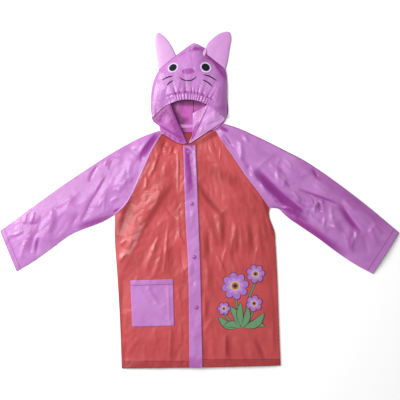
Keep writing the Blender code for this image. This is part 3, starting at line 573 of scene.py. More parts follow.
# Ears: x, y along each long side, from the base to the tip.
EAR_LEFT = (
    ((-112.5, 355.8), (-117.5, 388), (-122.5, 446), (-121, 456)),
    ((-65.6, 396.9), (-80, 426), (-98, 449), (-111, 459)),
)
EAR_RIGHT = (
    ((13.3, 404.5), (18, 423), (36, 444), (54, 457), (72, 463)),
    ((71.4, 358.5), (78, 386), (82, 413), (86, 449), (83, 460)),
)
EAR_PUFF = 2.0  # extra height of an ear's middle
EAR_ROWS = 64
EAR_COLUMNS = 30

# ---- welded strips -----------------------------------------------------------------------------
RAGLAN_SHIFT = (1.2, 0.6)  # the seam's strip lies this much outward and towards the hood from the raglan
RAGLAN_HALF = 1.7  # half its width
NECK_WELD = ((-54, 203), (-36, 201.5), (-18, 202.5))
NECK_WELD_HALF = 4.4
NECK_WELD_Z = 1.6
EAR_ROOT_LEFT = ((-113.5, 356.5), (-90, 376.5), (-66, 397.5))
EAR_ROOT_LEFT_HALF = 1.3
EAR_ROOT_LEFT_Z = 3.1
EAR_ROOT_RIGHT = ((16.5, 416), (13.5, 405), (9.5, 392))
EAR_ROOT_RIGHT_HALF = 3.9
EAR_ROOT_TOP = 415  # y of its upper end
EAR_ROOT_FOOT = 3.7  # z there
EAR_ROOT_CLIMB = 0.22  # climb for each millimetre from there down the crown
# Lines that hold the hems: x of their points, y.
HEM_LINE_LEFT = ((-213, -150, -90, -30), -461.5 + HEM)
HEM_LINE_RIGHT = ((10, 80, 150, 220), -457.5 + HEM)
HEM_LINE_HALF = 0.8

# ---- fastenings --------------------------------------------------------------------------------
SNAPS = ((-29, 131), (-21, -11), (-15, -157), (-9, -295))  # x, y
# Turned profile of a cap, with a rim, a shallow ring and a raised button: radius, height over the band.
SNAP_PROFILE = (
    (5.6, 0.0), (5.7, 0.5), (5.5, 1.0), (5.0, 1.4), (4.4, 1.6), (3.9, 1.5),
    (3.5, 1.35), (3.1, 1.5), (2.6, 1.85), (1.8, 2.1), (0.9, 2.25),
)
SNAP_SIDES = 40
SNAP_TOP = 2.3  # height of its middle
SNAP_SINK = 0.1  # depth of its rim in the band
POCKET = ((-185, -348), (-70, -345), (-73, -217), (-190.5, -221))  # corners, from the lower left round
POCKET_HEM = 14.0  # depth of the pocket's turned top
POCKET_HEM_RISE = 0.45
POCKET_LIFT = 1.3  # height of the pocket over the front
POCKET_DROP = 1.2  # how far its edges go down
POCKET_DEEP = 0.06  # share of its deeper colour
POCKET_ROWS = 56
POCKET_COLUMNS = 52

# ---- prints ------------------------------------------------------------------------------------
# A plain animal face in ellipses and arcs. Eyes: x, y, half width, half height, turn in degrees.
EYES = ((-73.5, 362, 11.2, 9.2, 35), (16.3, 362.4, 11.6, 10.2, -32))
EYE_RIM = 1.34  # the white round an eye is this many times as large
NOSE = (-31.3, 351.8, 17.2, 7.6, 3)
SMILE = ((-55, 335.5), (-48.9, 329.8), (-37.5, 325.9), (-26.1, 325.9), (-17, 329.8), (-9, 337.1))
WHISKERS = (
    ((-72.5, 339), (-88, 335), (-103.5, 327.5)),
    ((-72.5, 326.5), (-82, 320.5), (-90, 312.5)),
    ((9, 342.5), (27, 337.5), (46.5, 325.5)),
    ((7, 328.5), (23, 320.5), (35, 308.5)),
)
LINE = 3.0  # width of the printed smile
WHISKER = LINE / 0.9
# A posy. Flowers: x, y, radius, petals, turn in degrees.
FLOWERS = ((97, -236, 37, 8, 10), (153, -203, 25, 7, 4), (149, -284, 22, 6, 20), (66, -298, 17, 6, 0))
STEMS = (
    ((97, -262), (104, -300), (114, -348)),
    ((153, -226), (134, -272), (121, -348)),
    ((147, -304), (138, -326), (126, -348)),
    ((67, -312), (84, -332), (108, -349)),
)
# Leaves: foot x, y, tip x, y, sideways bow, half width.
LEAVES = (
    (104, -350, 52, -322, 8, 9), (112, -351, 66, -346, -8, 8), (108, -350, 82, -292, -7, 9),
    (118, -351, 112, -282, 5, 8), (122, -351, 178, -346, 9, 8), (122, -350, 176, -312, -9, 10),
    (116, -351, 132, -296, -5, 8),
)
STEM_HALF = 1.9
OUTLINE = 1.5  # width of the dark line round a flower or leaf
STEM_OUTLINE = 1.2

# ---- stage, in metres --------------------------------------------------------------------------
FLOOR = 6.0  # half its width
FLOOR_DROP = 0.0004  # it lies this far under the coat
CAMERA_XY = (0.0008, -0.0007)
LIGHTS = {"key": (1.2, (-1.8, 0.7, 1.4)), "top": (0.9, (-0.95, 0.35, 2.2))}  # width, place


# ---- curves and distances ----------------------------------------------------------------------
def along(points, shares):
    """Points at the given shares of the length of a smooth curve through a table's rows.

    Between two rows the curve is a cubic whose end slopes are the differences of the neighbouring rows.
    """
    points = np.asarray(points, float)
    knots = np.append(0.0, np.cumsum(np.linalg.norm(np.diff(points, axis=0), axis=1)))
    slopes = np.gradient(points, knots, axis=0)
    at = np.asarray(shares, float) * knots[-1]
    i = np.clip(np.searchsorted(knots, at, side="right") - 1, 0, len(knots) - 2)
    span = (knots[i + 1] - knots[i])[:, None]
    u = (at - knots[i])[:, None] / span
    start = points[i] * (2 * u**3 - 3 * u**2 + 1) + slopes[i] * span * (u**3 - 2 * u**2 + u)
    return start + points[i + 1] * (3 * u**2 - 2 * u**3) + slopes[i + 1] * span * (u**3 - u**2)


def steps(count):
    """count + 1 even shares from 0 to 1."""
    return np.linspace(0, 1, count + 1)


def between(first, last, count):
    """A row of count + 1 even points from each point of one line to its partner on another."""
    share = steps(count)[None, :, None]
    return first[:, None] * (1 - share) + last[:, None] * share


def at_level(points, levels):
    """Points of a smooth outline at the given values of y."""
    dense = along(points, steps(400))
    return np.column_stack([np.interp(levels, dense[:, 1], dense[:, 0]), levels])


def ease(value):
    """Smooth step from 0 to 1: three times the square less twice the cube."""
    value = np.clip(value, 0, 1)
    return value * value * (3 - 2 * value)


def fade(value, full, gone):
    """1 up to full, then smoothly down to 0 at gone."""
    return ease((gone - value) / (gone - full))


def distance_to(x, y, outlines):
    """Distance of each point to the nearest outline, as the least over their short straight runs."""
    nearest = np.full(np.shape(x), np.inf)
    for outline in outlines:
        line = along(outline, steps(24))
        for (ax, ay), (bx, by) in zip(line[:-1], line[1:]):
            dx, dy = bx - ax, by - ay
            share = np.clip(((x - ax) * dx + (y - ay) * dy) / (dx * dx + dy * dy), 0, 1)
            nearest = np.minimum(nearest, np.hypot(x - ax - share * dx, y - ay - share * dy))
    return nearest


# ---- creases -----------------------------------------------------------------------------------
def creases(x, y, table, power=1.5):
    """Height of the listed creases.

    Across its line each is a peaked bell, e to the minus |distance / reach| to a power, with a reach of its
    own on each side. Along the line it swells and dies out again, as 4 s (1 - s) to the power 0.7.
    """
    total = np.zeros(np.shape(x))
    for x1, y1, x2, y2, bow, left, right, rise in table:
        dx, dy = x2 - x1, y2 - y1
        length = math.hypot(dx, dy)
        share = np.clip(((x - x1) * dx + (y - y1) * dy) / length**2, 0, 1)
        swell = 4 * share * (1 - share)
        off = ((y - y1) * dx - (x - x1) * dy) / length - bow * swell
        total += rise * swell**0.7 * np.exp(-np.abs(off / np.where(off > 0, left, right)) ** power)
    return total


def doubled_and_shade_share(x, y, table):
    """How far each point lies in film that lies double or in painted shade: strips of the creases' form,
    squarer across.
    """
    return np.clip(creases(x, y, table, 3.4), 0, 1)


def crumple(x, y, size, seed, stretch=1.0, lean=0.0):
    """Fine crumpling, from about -0.6 to 1.5: flat facets that meet in sharp creases.

    It is the absolute value of a sum of eight waves of about the given size, less its mean. The facets are
    longer along the direction lean, in degrees, by the factor stretch.
    """
    draw = np.random.default_rng(seed)
    cos, sin = math.cos(math.radians(lean)), math.sin(math.radians(lean))
    u, v = (x * cos + y * sin) / stretch, y * cos - x * sin
    total = np.zeros(np.shape(x))
    for turn, length, phase in zip(*draw.uniform((0, 0.7, 0), (math.pi, 1.7, 2 * math.pi), (8, 3)).T):
        total += np.sin(2 * math.pi * (u * math.cos(turn) + v * math.sin(turn)) / (size * length) + phase)
    return np.abs(total) / 2 - 0.6


def near(x, y, spots):
    """1 plus a bell of the given strength round each spot: x, y, reach, strength."""
    total = np.ones(np.shape(x))
    for spot_x, spot_y, reach, strength in spots:
        total += strength * np.exp(-((x - spot_x) ** 2 + (y - spot_y) ** 2) / reach**2)
    return total


# ---- heights -----------------------------------------------------------------------------------
def coat_height(x, y, table, lean, seed):
    """Top of the coat's upper layer: two layers, and the loft, the creases and the crumples on them.

    The loft is LOFT times 1 less e to the minus edge distance / LOFT_REACH, less at the hem and cuffs.
    """
    edge = distance_to(x, y, CLOSED_EDGES)
    seam = distance_to(x, y, (RAGLAN_LEFT, RAGLAN_RIGHT))
    opening = distance_to(x, y, OPEN_EDGES)
    open_end = 1 - OPEN_END_DROP * np.exp(-((opening / OPEN_END_REACH) ** 2))
    loft = LOFT * (1 - np.exp(-edge / LOFT_REACH)) * open_end
    folds = creases(x, y, table) * (1 - np.exp(-((edge / CREASE_FADE) ** 2)))
    looks = bpy.context.scene.raincoat
    fine = FINE_RISE * crumple(x, y, FINE_SIZE, seed + 1, 1.8, lean)
    fine = fine - BROAD_RISE * crumple(x, y, BROAD_SIZE, seed, 2.4, lean)
    fine *= looks.crumple * near(x, y, CRUMPLED) * (1 - np.exp(-np.minimum(edge, seam) / SEAM_FADE))
    return TWO_LAYERS + np.maximum(loft + looks.crease * folds + fine, 0)


def band_lift(x, y):
    """Extra height of the left front where it laps over the right one."""
    band = at_level(BAND_LEFT, np.ravel(y))[:, 0].reshape(np.shape(y))
    return LAYER * ease((x - band + LAP_START) / LAP_RUN)


def left_front_height(x, y):
    return coat_height(x, y, CREASES_LEFT_FRONT + CREASES_POCKET + CREASES_BAND, 68, 11) + band_lift(x, y)


def right_front_height(x, y):
    return coat_height(x, y, CREASES_RIGHT_FRONT, 104, 21)


def left_sleeve_height(x, y):
    return coat_height(x, y, CREASES_LEFT_SLEEVE, 62, 31)


def right_sleeve_height(x, y):
    return coat_height(x, y, CREASES_RIGHT_SLEEVE, -42, 41)


def band_height(x, y):
    return left_front_height(x, y) + LAYER


def pocket_height(x, y):
    return left_front_height(x, y) + POCKET_LIFT


def level(height):
    """A flat surface at one height, as a function of x and y."""
    return lambda x, y: np.full(np.shape(x), height)


def ear_root_height(x, y):
    """Surface under the strip at the right ear's root, which climbs the crown from the ear's corner."""
    return EAR_ROOT_FOOT + EAR_ROOT_CLIMB * (EAR_ROOT_TOP - y)


def brim_place(x, y):
    """Distance of each point from the brim's edge, and the share of the brim at which it is nearest."""
    shares = steps(300)
    line = along(BRIM, shares)
    far = np.hypot(x[..., None] - line[:, 0], y[..., None] - line[:, 1])
    return far.min(axis=-1), shares[far.argmin(axis=-1)]


def crown_height(x, y):
    """Top of the hood's crown: the loft from its outline, the creases and crumples, and the gathers."""
    edge = distance_to(x, y, [path for path, _ in CROWN_COLUMNS])
    corner = CROWN_CORNER * fade(y, *CROWN_CORNER_Y)
    loft = (CROWN_LOFT + BRIM_LOFT * fade(y, *BRIM_LOFT_Y)) * (1 - np.exp(-edge / CROWN_REACH))
    folds = creases(x, y, CREASES_CROWN) * (1 - np.exp(-((edge / CREASE_FADE) ** 2)))
    looks = bpy.context.scene.raincoat
    fine = looks.crumple * (0.8 * crumple(x, y, 48, 51) + 0.2 * crumple(x, y, 20, 52))
    fine = fine * (1 - np.exp(-edge / CREASE_FADE))
    gathers, _ = crown_gathers(x, y)
    return TWO_LAYERS + corner + np.maximum(loft + looks.crease * folds + fine, 0) + gathers


def crown_gathers(x, y):
    """Height of the gathers, and the share of painted shade in their clefts, along the elastic and below it.

    Below the elastic they are ruffles, a cosine along the brim. Above it they are puffs, the absolute value
    of a wider cosine, which meet in sharp clefts and die out. The elastic itself is a trough, a bell across
    its line. Sines of unlike lengths along the brim make the spacing, height and run uneven.
    """
    down, share = brim_place(x, y)
    start, stop = GATHERED
    place = np.clip((share - start) / (stop - start), 0, 1)
    inside = ease(place * GATHER_ENDS) * ease((1 - place) * GATHER_ENDS)
    drift = 0.3 * np.sin(9.3 * place + 1) + 0.2 * np.sin(23 * place)
    ruffles = np.cos(2 * math.pi * (RUFFLES * place + drift)) * (1 + 0.45 * np.sin(17 * place + 2))
    puffs = np.abs(np.cos(math.pi * (PUFFS * place + 1.2 * drift)))
    run = PUFF_RUN * (1 + 0.45 * np.sin(29 * place + 2) + 0.2 * np.sin(53 * place))
    reach = np.exp(-((np.clip(down - ELASTIC, 0, None) / run) ** 1.6))
    pinch = np.exp(-(((down - ELASTIC) / ELASTIC_HALF) ** 2))
    below = ease((ELASTIC + 1 - down) / 4)
    height = below * RUFFLE_RISE * ruffles + (1 - below) * PUFF_RISE * (puffs**0.7 - 0.55) * reach
    height = height * (1 - 0.6 * pinch) - ELASTIC_DEPTH * pinch
    cleft = (1 - puffs) ** 1.5 * reach * (1 - below)
    deep = 0.95 * cleft + pinch * (0.15 + 0.85 * (1 - puffs)) + below * (0.12 + 0.4 * ease(-ruffles))
    return height * inside, np.clip(deep, 0, 1) * inside


# ---- meshes ------------------------------------------------------------------------------------
def grid_part(points, wrap=False):
    """Points and faces of a grid, rows by columns by 3; wrap joins the last column to the first."""
    rows, columns = points.shape[:2]
    index = np.arange(rows * columns).reshape(rows, columns)
    across = np.roll(index, -1, axis=1) if wrap else index[:, 1:]
    here = index if wrap else index[:, :-1]
    faces = np.stack([here[:-1], across[:-1], across[1:], here[1:]], axis=-1).reshape(-1, 4)
    return points.reshape(-1, 3), faces


def disc_part(rings, centre):
    """Points and faces of rings, inmost first, round one centre point; triangles join the inmost to it."""
    points, faces = grid_part(rings, wrap=True)
    sides = rings.shape[1]
    inner = np.arange(sides)
    fan = np.column_stack([np.full(sides, len(points)), np.roll(inner, -1), inner, inner])
    return np.vstack([points, np.reshape(centre, (1, 3))]), np.vstack([faces, fan])


def build(name, parts, look, nodes=(), thickness=0.0, offset=-1.0, turned=False, tone=None):
    """One smooth object from parts in millimetres, as a thin sheet where a thickness is given.

    look is its row in LOOKS. A row of faces whose last two corners are the same is a triangle. tone is the
    share of the deeper colour at each point.
    """
    points = np.vstack([part[0] for part in parts]) * MM
    starts = np.cumsum([0] + [len(part[0]) for part in parts[:-1]])
    faces = np.vstack([part[1] + start for part, start in zip(parts, starts)])
    keep = np.ones(faces.shape, bool)
    keep[:, 3] = faces[:, 3] != faces[:, 2]
    if turned:
        faces, keep = faces[:, ::-1], keep[:, ::-1]
    sizes = keep.sum(axis=1)
    mesh = bpy.data.meshes.new(name)
    mesh.vertices.add(len(points))
    mesh.vertices.foreach_set("co", points.astype(np.float32).ravel())
    mesh.loops.add(int(sizes.sum()))
    mesh.loops.foreach_set("vertex_index", faces[keep].astype(np.int32))
    mesh.polygons.add(len(faces))
    mesh.polygons.foreach_set("loop_start", np.append(0, np.cumsum(sizes)[:-1]).astype(np.int32))
    mesh.update(calc_edges=True)
    mesh.validate()
    mesh.shade_smooth()
    material, slot = look_of(look)
    mesh.materials.append(material)
    share = np.zeros(len(points)) if tone is None else np.ravel(tone)
    mesh.attributes.new("doubled_and_shade", "FLOAT", "POINT").data.foreach_set("value", share.astype(np.float32))
    obj = bpy.data.objects.new(name, mesh)
    bpy.context.scene.collection.objects.link(obj)
    if thickness:
        shell = obj.modifiers.new("film", "SOLIDIFY")
        shell.thickness = thickness * MM
        shell.offset = offset
    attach(obj, "root")
    if nodes:
        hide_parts(*nodes)
    return obj


def raised(plan, height):
    """Plan points with their heights."""
    return np.concatenate([plan, np.broadcast_to(height, plan.shape[:2])[..., None]], axis=2)


def with_edge(points, axis, end, lower):
    """One more row (axis 0) or column (axis 1) under the first (end 0) or last (end 1).

    lower is how far down it lies, or a function that gives its heights from the old ones.
    """
    edge = np.take(points, [-end], axis=axis)
    edge[..., 2] = lower(edge[..., 2]) if callable(lower) else edge[..., 2] - lower
    return np.concatenate([points, edge] if end else [edge, points], axis=axis)


def to_back(z):
    """Height at which an upper layer is welded to the layer on the table."""
    return np.minimum(z, TABLE_LAYER + 0.1)


def tube(lower, upper):
    """Closed rings, one for each row: along the lower layer and back over the upper one."""
    return np.concatenate([lower, upper[:, -2:0:-1]], axis=1)


def ribbon(path, half, surface, lift=PRINT_LIFT, crown=0.1, count=60, taper=None):
    """A strip along a path on a surface: half wide on each side, its middle raised by crown.

    half may be a number or one value for each point; taper narrows a line's ends over that share of its
    length.
    """
    share = steps(count)
    middle = along(path, share)
    ahead = np.gradient(middle, axis=0)
    side = np.column_stack([-ahead[:, 1], ahead[:, 0]]) / np.linalg.norm(ahead, axis=1)[:, None]
    half = np.broadcast_to(np.asarray(half, float), share.shape)
    if taper:
        half = half * np.minimum(1, np.sqrt(np.minimum(share, 1 - share) / taper + 0.05))
    across = np.linspace(-1, 1, 5)
    plan = middle[:, None] - side[:, None] * half[:, None, None] * across[None, :, None]
    top = surface(plan[..., 0], plan[..., 1]) + lift + crown * (1 - across**2)
    return grid_part(raised(plan, top))


def patch(x, y, radius, surface, lift, rings=10, sides=64):
    """A printed shape round a centre, on a surface: radius is a function of the angle."""
    angle = 2 * math.pi * np.arange(sides) / sides
    reach = radius(angle)[None, :] * np.arange(1, rings + 1)[:, None] / rings
    px, py = x + reach * np.cos(angle), y + reach * np.sin(angle)
    points = np.stack([px, py, surface(px, py) + lift], axis=-1)
    centre = (x, y, float(surface(np.array([x]), np.array([y]))[0]) + lift)
    return disc_part(points, centre)


def ellipse(half_width, half_height, turn=0):
    """Radius of an ellipse at each angle: its half axes' product over the root of (b cos)² + (a sin)²."""
    lean = math.radians(turn)
    return lambda angle: half_width * half_height / np.hypot(
        half_height * np.cos(angle - lean), half_width * np.sin(angle - lean)
    )


def petals(radius, count, turn):
    """Radius of a flower: between 62% and all of it, as the root of half a cosine for each petal."""
    lean = math.radians(turn)
    return lambda angle: radius * (0.62 + 0.38 * np.abs(np.cos(count * (angle - lean) / 2)) ** 0.55)


# ---- materials ---------------------------------------------------------------------------------
def linear(hex_colour):
    """Linear colour of an sRGB hex value."""
    parts = [int(hex_colour[i : i + 2], 16) / 255 for i in (1, 3, 5)]
    red, green, blue = [c / 12.92 if c <= 0.04045 else ((c + 0.055) / 1.055) ** 2.4 for c in parts]
    return red, green, blue, 1.0


def wire(tree, node, inputs):
    """Sets or joins a node's inputs, by name or number."""
    for name, value in inputs.items():
        if isinstance(value, bpy.types.NodeSocket):
            tree.links.new(value, node.inputs[name])
        else:
            node.inputs[name].default_value = value


def add(tree, kind, inputs=None, **settings):
    """Adds a node with its inputs and its own properties."""
    made = tree.nodes.new(kind)
    for name, value in settings.items():
        setattr(made, name, value)
    wire(tree, made, inputs or {})
    return made


def start_material(name):
    """A new material: itself, its tree, its shader and the object coordinates."""
    material = bpy.data.materials.new(name)
    material.use_nodes = True
    tree = material.node_tree
    place = add(tree, "ShaderNodeTexCoord").outputs["Object"]
    return material, tree, tree.nodes["Principled BSDF"], place


def vinyl(name, colour, deep, roughness, grain):
    """Soft PVC film, calendered: an even colour right through, with a wet-looking skin.

    The eye sees a broad soft gloss broken up by fine creases about a centimetre apart, and a deeper colour
    where two layers of the film lie on each other or are welded together. The same deeper colour is also
    painted in as shade, in troughs, clefts and crevices and on faces turned away from the light.
    """
    material, tree, shader, place = start_material(name)
    # The film's tone varies over some 80 mm, where it clings to the layer under it or stands off it.
    waves = {"Vector": place, "Scale": 1 / (80 * MM), "Detail": 3.0, "Distortion": 0.8}
    tone = add(tree, "ShaderNodeTexNoise", waves).outputs["Fac"]
    patchy = add(tree, "ShaderNodeMapRange", {"Value": tone, "From Min": 0.35, "From Max": 0.7}).outputs[0]
    clinging = add(tree, "ShaderNodeMath", {0: patchy, 1: CLINGING}, operation="MULTIPLY").outputs[0]
    tones = {0: clinging, 6: linear(colour), 7: linear(deep)}
    base = add(tree, "ShaderNodeMix", tones, data_type="RGBA").outputs[2]
    # Share of the deeper colour at each point: film that lies double, and painted shade.
    doubled_and_shade = add(tree, "ShaderNodeAttribute", attribute_name="doubled_and_shade").outputs["Fac"]
    tones = {0: doubled_and_shade, 6: base, 7: linear(deep)}
    film = add(tree, "ShaderNodeMix", tones, data_type="RGBA").outputs[2]
    # Its gloss varies over 30 mm.
    waves = {"Vector": place, "Scale": 1 / (30 * MM), "Detail": 4.0}
    gloss = add(tree, "ShaderNodeTexNoise", waves).outputs["Fac"]
    ends = {"From Min": 0.3, "From Max": 0.7, "To Min": roughness - 0.06, "To Max": roughness + 0.08}
    rough = add(tree, "ShaderNodeMapRange", {"Value": gloss, **ends}).outputs[0]
    # Creases some 14 mm apart, bent by up to 12 mm in waves of 20 mm, and an orange peel of 6 mm waves. The
    # real peel is finer than 1 mm and would not show.
    waves = {"Vector": place, "Scale": 1 / (20 * MM), "Detail": 2.0}
    warp = add(tree, "ShaderNodeTexNoise", waves).outputs["Color"]
    bent = add(tree, "ShaderNodeVectorMath", {0: warp, "Scale": 12 * MM}, operation="SCALE").outputs[0]
    moved = add(tree, "ShaderNodeVectorMath", {0: place, 1: bent}, operation="ADD").outputs[0]
    cells = {"Vector": moved, "Scale": 1 / (14 * MM)}
    crease = add(tree, "ShaderNodeTexVoronoi", cells, feature="DISTANCE_TO_EDGE").outputs["Distance"]
    sharp = add(tree, "ShaderNodeMath", {0: crease, 1: 0.5}, operation="POWER").outputs[0]
    waves = {"Vector": place, "Scale": 1 / (6 * MM), "Detail": 3.0}
    peel = add(tree, "ShaderNodeTexNoise", waves).outputs["Fac"]
    relief = add(tree, "ShaderNodeMath", {0: peel, 1: 0.4, 2: sharp}, operation="MULTIPLY_ADD").outputs[0]
    heights = {"Height": relief, "Strength": 0.22 * grain, "Distance": 1.2 * MM}
    normal = add(tree, "ShaderNodeBump", heights).outputs[0]
    wire(tree, shader, {"Base Color": film, "Roughness": rough, "Normal": normal})
    wire(tree, shader, {"IOR": 1.53, "Specular IOR Level": 0.5})
    wire(tree, shader, {"Coat Weight": 0.24, "Coat Roughness": 0.12})
    return material


def ink(name, colour, roughness, gloss):
    """Screen-printed ink on the film: opaque and even, with a faint mottle from the screen.

    The eye sees a flat tint. Dark inks are more matt and have less gloss, so they stay dark in the light.
    """
    material, tree, shader, place = start_material(name)
    # A screen's threads are under half a millimetre apart; the mottle is drawn 4 mm wide, so that it shows.
    waves = {"Vector": place, "Scale": 1 / (4 * MM), "Detail": 3.0}
    screen = add(tree, "ShaderNodeTexNoise", waves).outputs["Fac"]
    ends = {"Value": screen, "From Min": 0.3, "From Max": 0.7, "To Min": 0.0, "To Max": 0.12}
    share = add(tree, "ShaderNodeMapRange", ends).outputs[0]
    darker = tuple(c * 0.7 for c in linear(colour)[:3]) + (1.0,)
    tints = {0: share, 6: linear(colour), 7: darker}
    tint = add(tree, "ShaderNodeMix", tints, data_type="RGBA").outputs[2]
    heights = {"Height": screen, "Strength": 0.08, "Distance": 0.5 * MM}
    normal = add(tree, "ShaderNodeBump", heights).outputs[0]
    wire(tree, shader, {"Base Color": tint, "Roughness": roughness, "Normal": normal})
    wire(tree, shader, {"IOR": 1.5, "Specular IOR Level": gloss})
    return material


# Films: maker, slot, colour, deeper colour, roughness, grain. Inks: maker, slot, colour, roughness, gloss.
LOOKS = {
    # The body: half gloss, which spreads each highlight over a centimetre or so.
    "calendered_red_vinyl": (vinyl, "red_vinyl", "#B83E42", "#8E141B", 0.42, 0.52),
    # Sleeves, crown, band and pocket: the same film, a little glossier and more creased.
    "calendered_lilac_vinyl": (vinyl, "lilac_vinyl", "#B677BA", "#8A2686", 0.4, 0.66),
    # Ears: pale and nearly plain, so each reads as one soft tint.
    "calendered_pale_lilac_vinyl": (vinyl, "pale_lilac_vinyl", "#D2A0D3", "#BC7CBD", 0.44, 0.4),
    # Inside of the hood: a deep colour, painted shade, as light reaches it only through the face opening.
    "lilac_vinyl_inside_shaded": (vinyl, "lilac_vinyl", "#B44CA6", "#740F62", 0.5, 1.0),
    # Right lapel: the roller's matt side, which scatters the light; its paler colour is painted light, for the
    # light from the left that falls on it.
    "lilac_vinyl_matt_reverse_lit": (vinyl, "lilac_vinyl", "#D296D6", "#94388F", 0.58, 0.25),
    # Left lapel: the same side, turned away from the light and so deeper.
    "lilac_vinyl_turned_face": (vinyl, "lilac_vinyl", "#B65EB1", "#86207F", 0.54, 0.5),
    # Seams pressed smooth by a hot bar: a raised line painted lighter as a highlight, or a dark one where the
    # bar's edge bit in.
    "welded_lilac_seam_highlit": (vinyl, "lilac_vinyl", "#BF7CC1", "#A866AD", 0.42, 0.4),
    "lilac_weld_line": (vinyl, "lilac_vinyl", "#7D4A8C", "#6D3C7C", 0.4, 0.3),
    "red_weld_line": (vinyl, "red_vinyl", "#701F2C", "#5E1824", 0.4, 0.3),
    # Snap caps, injection moulded: smooth, with a small bright point on each.
    "moulded_snap_plastic": (vinyl, "snap_plastic", "#924C9A", "#763A80", 0.34, 0.15),
    "white_ink": (ink, "lilac_vinyl", "#CDBFDA", 0.34, 0.5),
    "blue_black_ink": (ink, "lilac_vinyl", "#0A0B18", 0.5, 0.2),
    "mauve_ink": (ink, "lilac_vinyl", "#98489A", 0.34, 0.5),
    "aubergine_ink": (ink, "lilac_vinyl", "#24042C", 0.5, 0.2),
    "indigo_ink": (ink, "red_vinyl", "#2A1A42", 0.5, 0.2),
    "leaf_green_ink": (ink, "red_vinyl", "#5F8A5E", 0.34, 0.5),
    "lilac_ink": (ink, "red_vinyl", "#9C68B2", 0.34, 0.5),
    "pale_lilac_ink": (ink, "red_vinyl", "#B07FC0", 0.34, 0.5),
    "cream_ink": (ink, "red_vinyl", "#CDB896", 0.34, 0.5),
    "amber_ink": (ink, "red_vinyl", "#9C6A22", 0.34, 0.5),
}


def look_of(name):
    """The named material, made on its first use, and its slot."""
    make, slot, *values = LOOKS[name]
    return bpy.data.materials.get(name) or make(name, *values), slot


# ---- body --------------------------------------------------------------------------------------
def up_the_side(side, raglan, hem, rows, seam_rows):
    """Points from the hem up the side seam to the underarm, and on along the raglan to the neck."""
    side_hem, _, side_arm, _ = hem
    levels = side_hem + (side_arm - side_hem) * steps(rows)[:-1]
    return np.vstack([at_level(side, levels), along(raglan, steps(seam_rows))])


def front_plan(side, raglan, neck, near_edge, far_edge, hem, middle_y):
    """Plan of a front: rows from the hem to the neck, columns from the side to the band's far edge.

    Below the underarm a row runs level from the side seam to the band; above it from the raglan. The neck's
    curve is blended in with the square of the height climbed, and the band's corners with its sixth power.
    """
    _, band_hem, _, band_arm = hem
    outer = up_the_side(side, raglan, hem, FRONT_ROWS, SEAM_ROWS)
    seam_y = outer[FRONT_ROWS:, 1]
    climb = np.append(np.zeros(FRONT_ROWS), (seam_y - seam_y[0]) / (seam_y[-1] - seam_y[0]))
    low = band_hem + (band_arm - band_hem) * steps(FRONT_ROWS)[:-1]
    band_y = np.append(low, band_arm + steps(SEAM_ROWS) * (BAND_TOP - band_arm))
    first, last = at_level(near_edge, band_y), at_level(far_edge, band_y)
    middle = (first + last) / 2
    middle[:, 1] += (middle_y - BAND_TOP) * climb**6
    first = first + (np.asarray(neck[-1]) - first[-1]) * (climb**6)[:, None]
    plan = between(outer, first, FRONT_COLUMNS)
    plan = plan + (along(neck, steps(FRONT_COLUMNS)) - plan[-1])[None] * (climb**2)[:, None, None]
    over = steps(BAND_COLUMNS)[1:, None]
    bend = (1 - over) * (1 - 2 * over), 4 * over * (1 - over), over * (2 * over - 1)
    band = first[:, None] * bend[0] + middle[:, None] * bend[1] + last[:, None] * bend[2]
    return np.concatenate([plan, band], axis=1)


def make_back():
    """Back panel on the table: rows between the side seams and then between the raglans."""
    left = up_the_side(SIDE_LEFT, RAGLAN_LEFT, HEM_LEFT, BACK_ROWS, BACK_SEAM_ROWS)
    right = up_the_side(SIDE_RIGHT, RAGLAN_RIGHT, HEM_RIGHT, BACK_ROWS, BACK_SEAM_ROWS)
    plan = between(left, right, BACK_COLUMNS)
    climb = np.append(np.zeros(BACK_ROWS), steps(BACK_SEAM_ROWS))[:, None, None]
    plan = plan + (along(NECK_BACK, steps(BACK_COLUMNS)) - plan[-1])[None] * climb**4
    x, y = plan[..., 0], plan[..., 1]
    edge = distance_to(x, y, (SIDE_LEFT, SIDE_RIGHT))
    lift = BACK_RISE * np.clip(crumple(x, y, 70, 5, 1.8, 70), 0, None) * (1 - np.exp(-edge / 12))
    sheet = grid_part(raised(plan, TABLE_LAYER + lift))
    # Painted shade on the back, where it shows inside the neck.
    shade = fade(-y, -BACK_SHADE_Y[1], -BACK_SHADE_Y[0])
    obj = build("coat_back", [sheet], "calendered_red_vinyl", ["back_panel"], FILM, tone=shade)


def make_fronts():
    """Both fronts, each with its turned-up hem as a double edge, welded to the back along the side."""
    plan = front_plan(SIDE_LEFT, RAGLAN_LEFT, NECK_LEFT, BAND_LEFT, BAND_RIGHT, HEM_LEFT, BAND_TOP)
    make_front("left", plan, left_front_height, DEEP_LEFT_FRONT)
    plan = front_plan(SIDE_RIGHT, RAGLAN_RIGHT, NECK_RIGHT, BAND_RIGHT, BAND_LEFT, HEM_RIGHT, NECK_UNDERLAP)
    make_front("right", plan[:, ::-1], right_front_height, DEEP_RIGHT_FRONT)


def make_front(word, plan, height, deep):
    """One front, its columns from left to right, with one more column down to the back at its side seam."""
    left = word == "left"
    x, y = plan[..., 0], plan[..., 1]
    hem_top = plan[0, :, 1].mean() + HEM
    hem = fade(y, hem_top - 1.5, hem_top + 1.5)
    ended = with_edge(raised(plan, height(x, y) + HEM_RISE * hem), 1, 0 if left else 1, to_back)
    side, inner = (0, 1) if left else (-1, -2)
    ended[FRONT_ROWS:, side, 2] = ended[FRONT_ROWS:, inner, 2] - 0.3
    ended[:FRONT_ROWS, side, 0] += -SIDE_OUT if left else SIDE_OUT
    # Painted shade from the table's strips, and the deeper colour of the hem's double film.
    deep = np.maximum(doubled_and_shade_share(x, y, deep), hem * HEM_DEEP)
    tone = np.pad(deep, ((0, 0), (1, 0) if left else (0, 1)), mode="edge")
    node = f"front_{word}"
    obj = build(f"coat_{node}", [grid_part(ended)], "calendered_red_vinyl", [node], FILM, tone=tone)


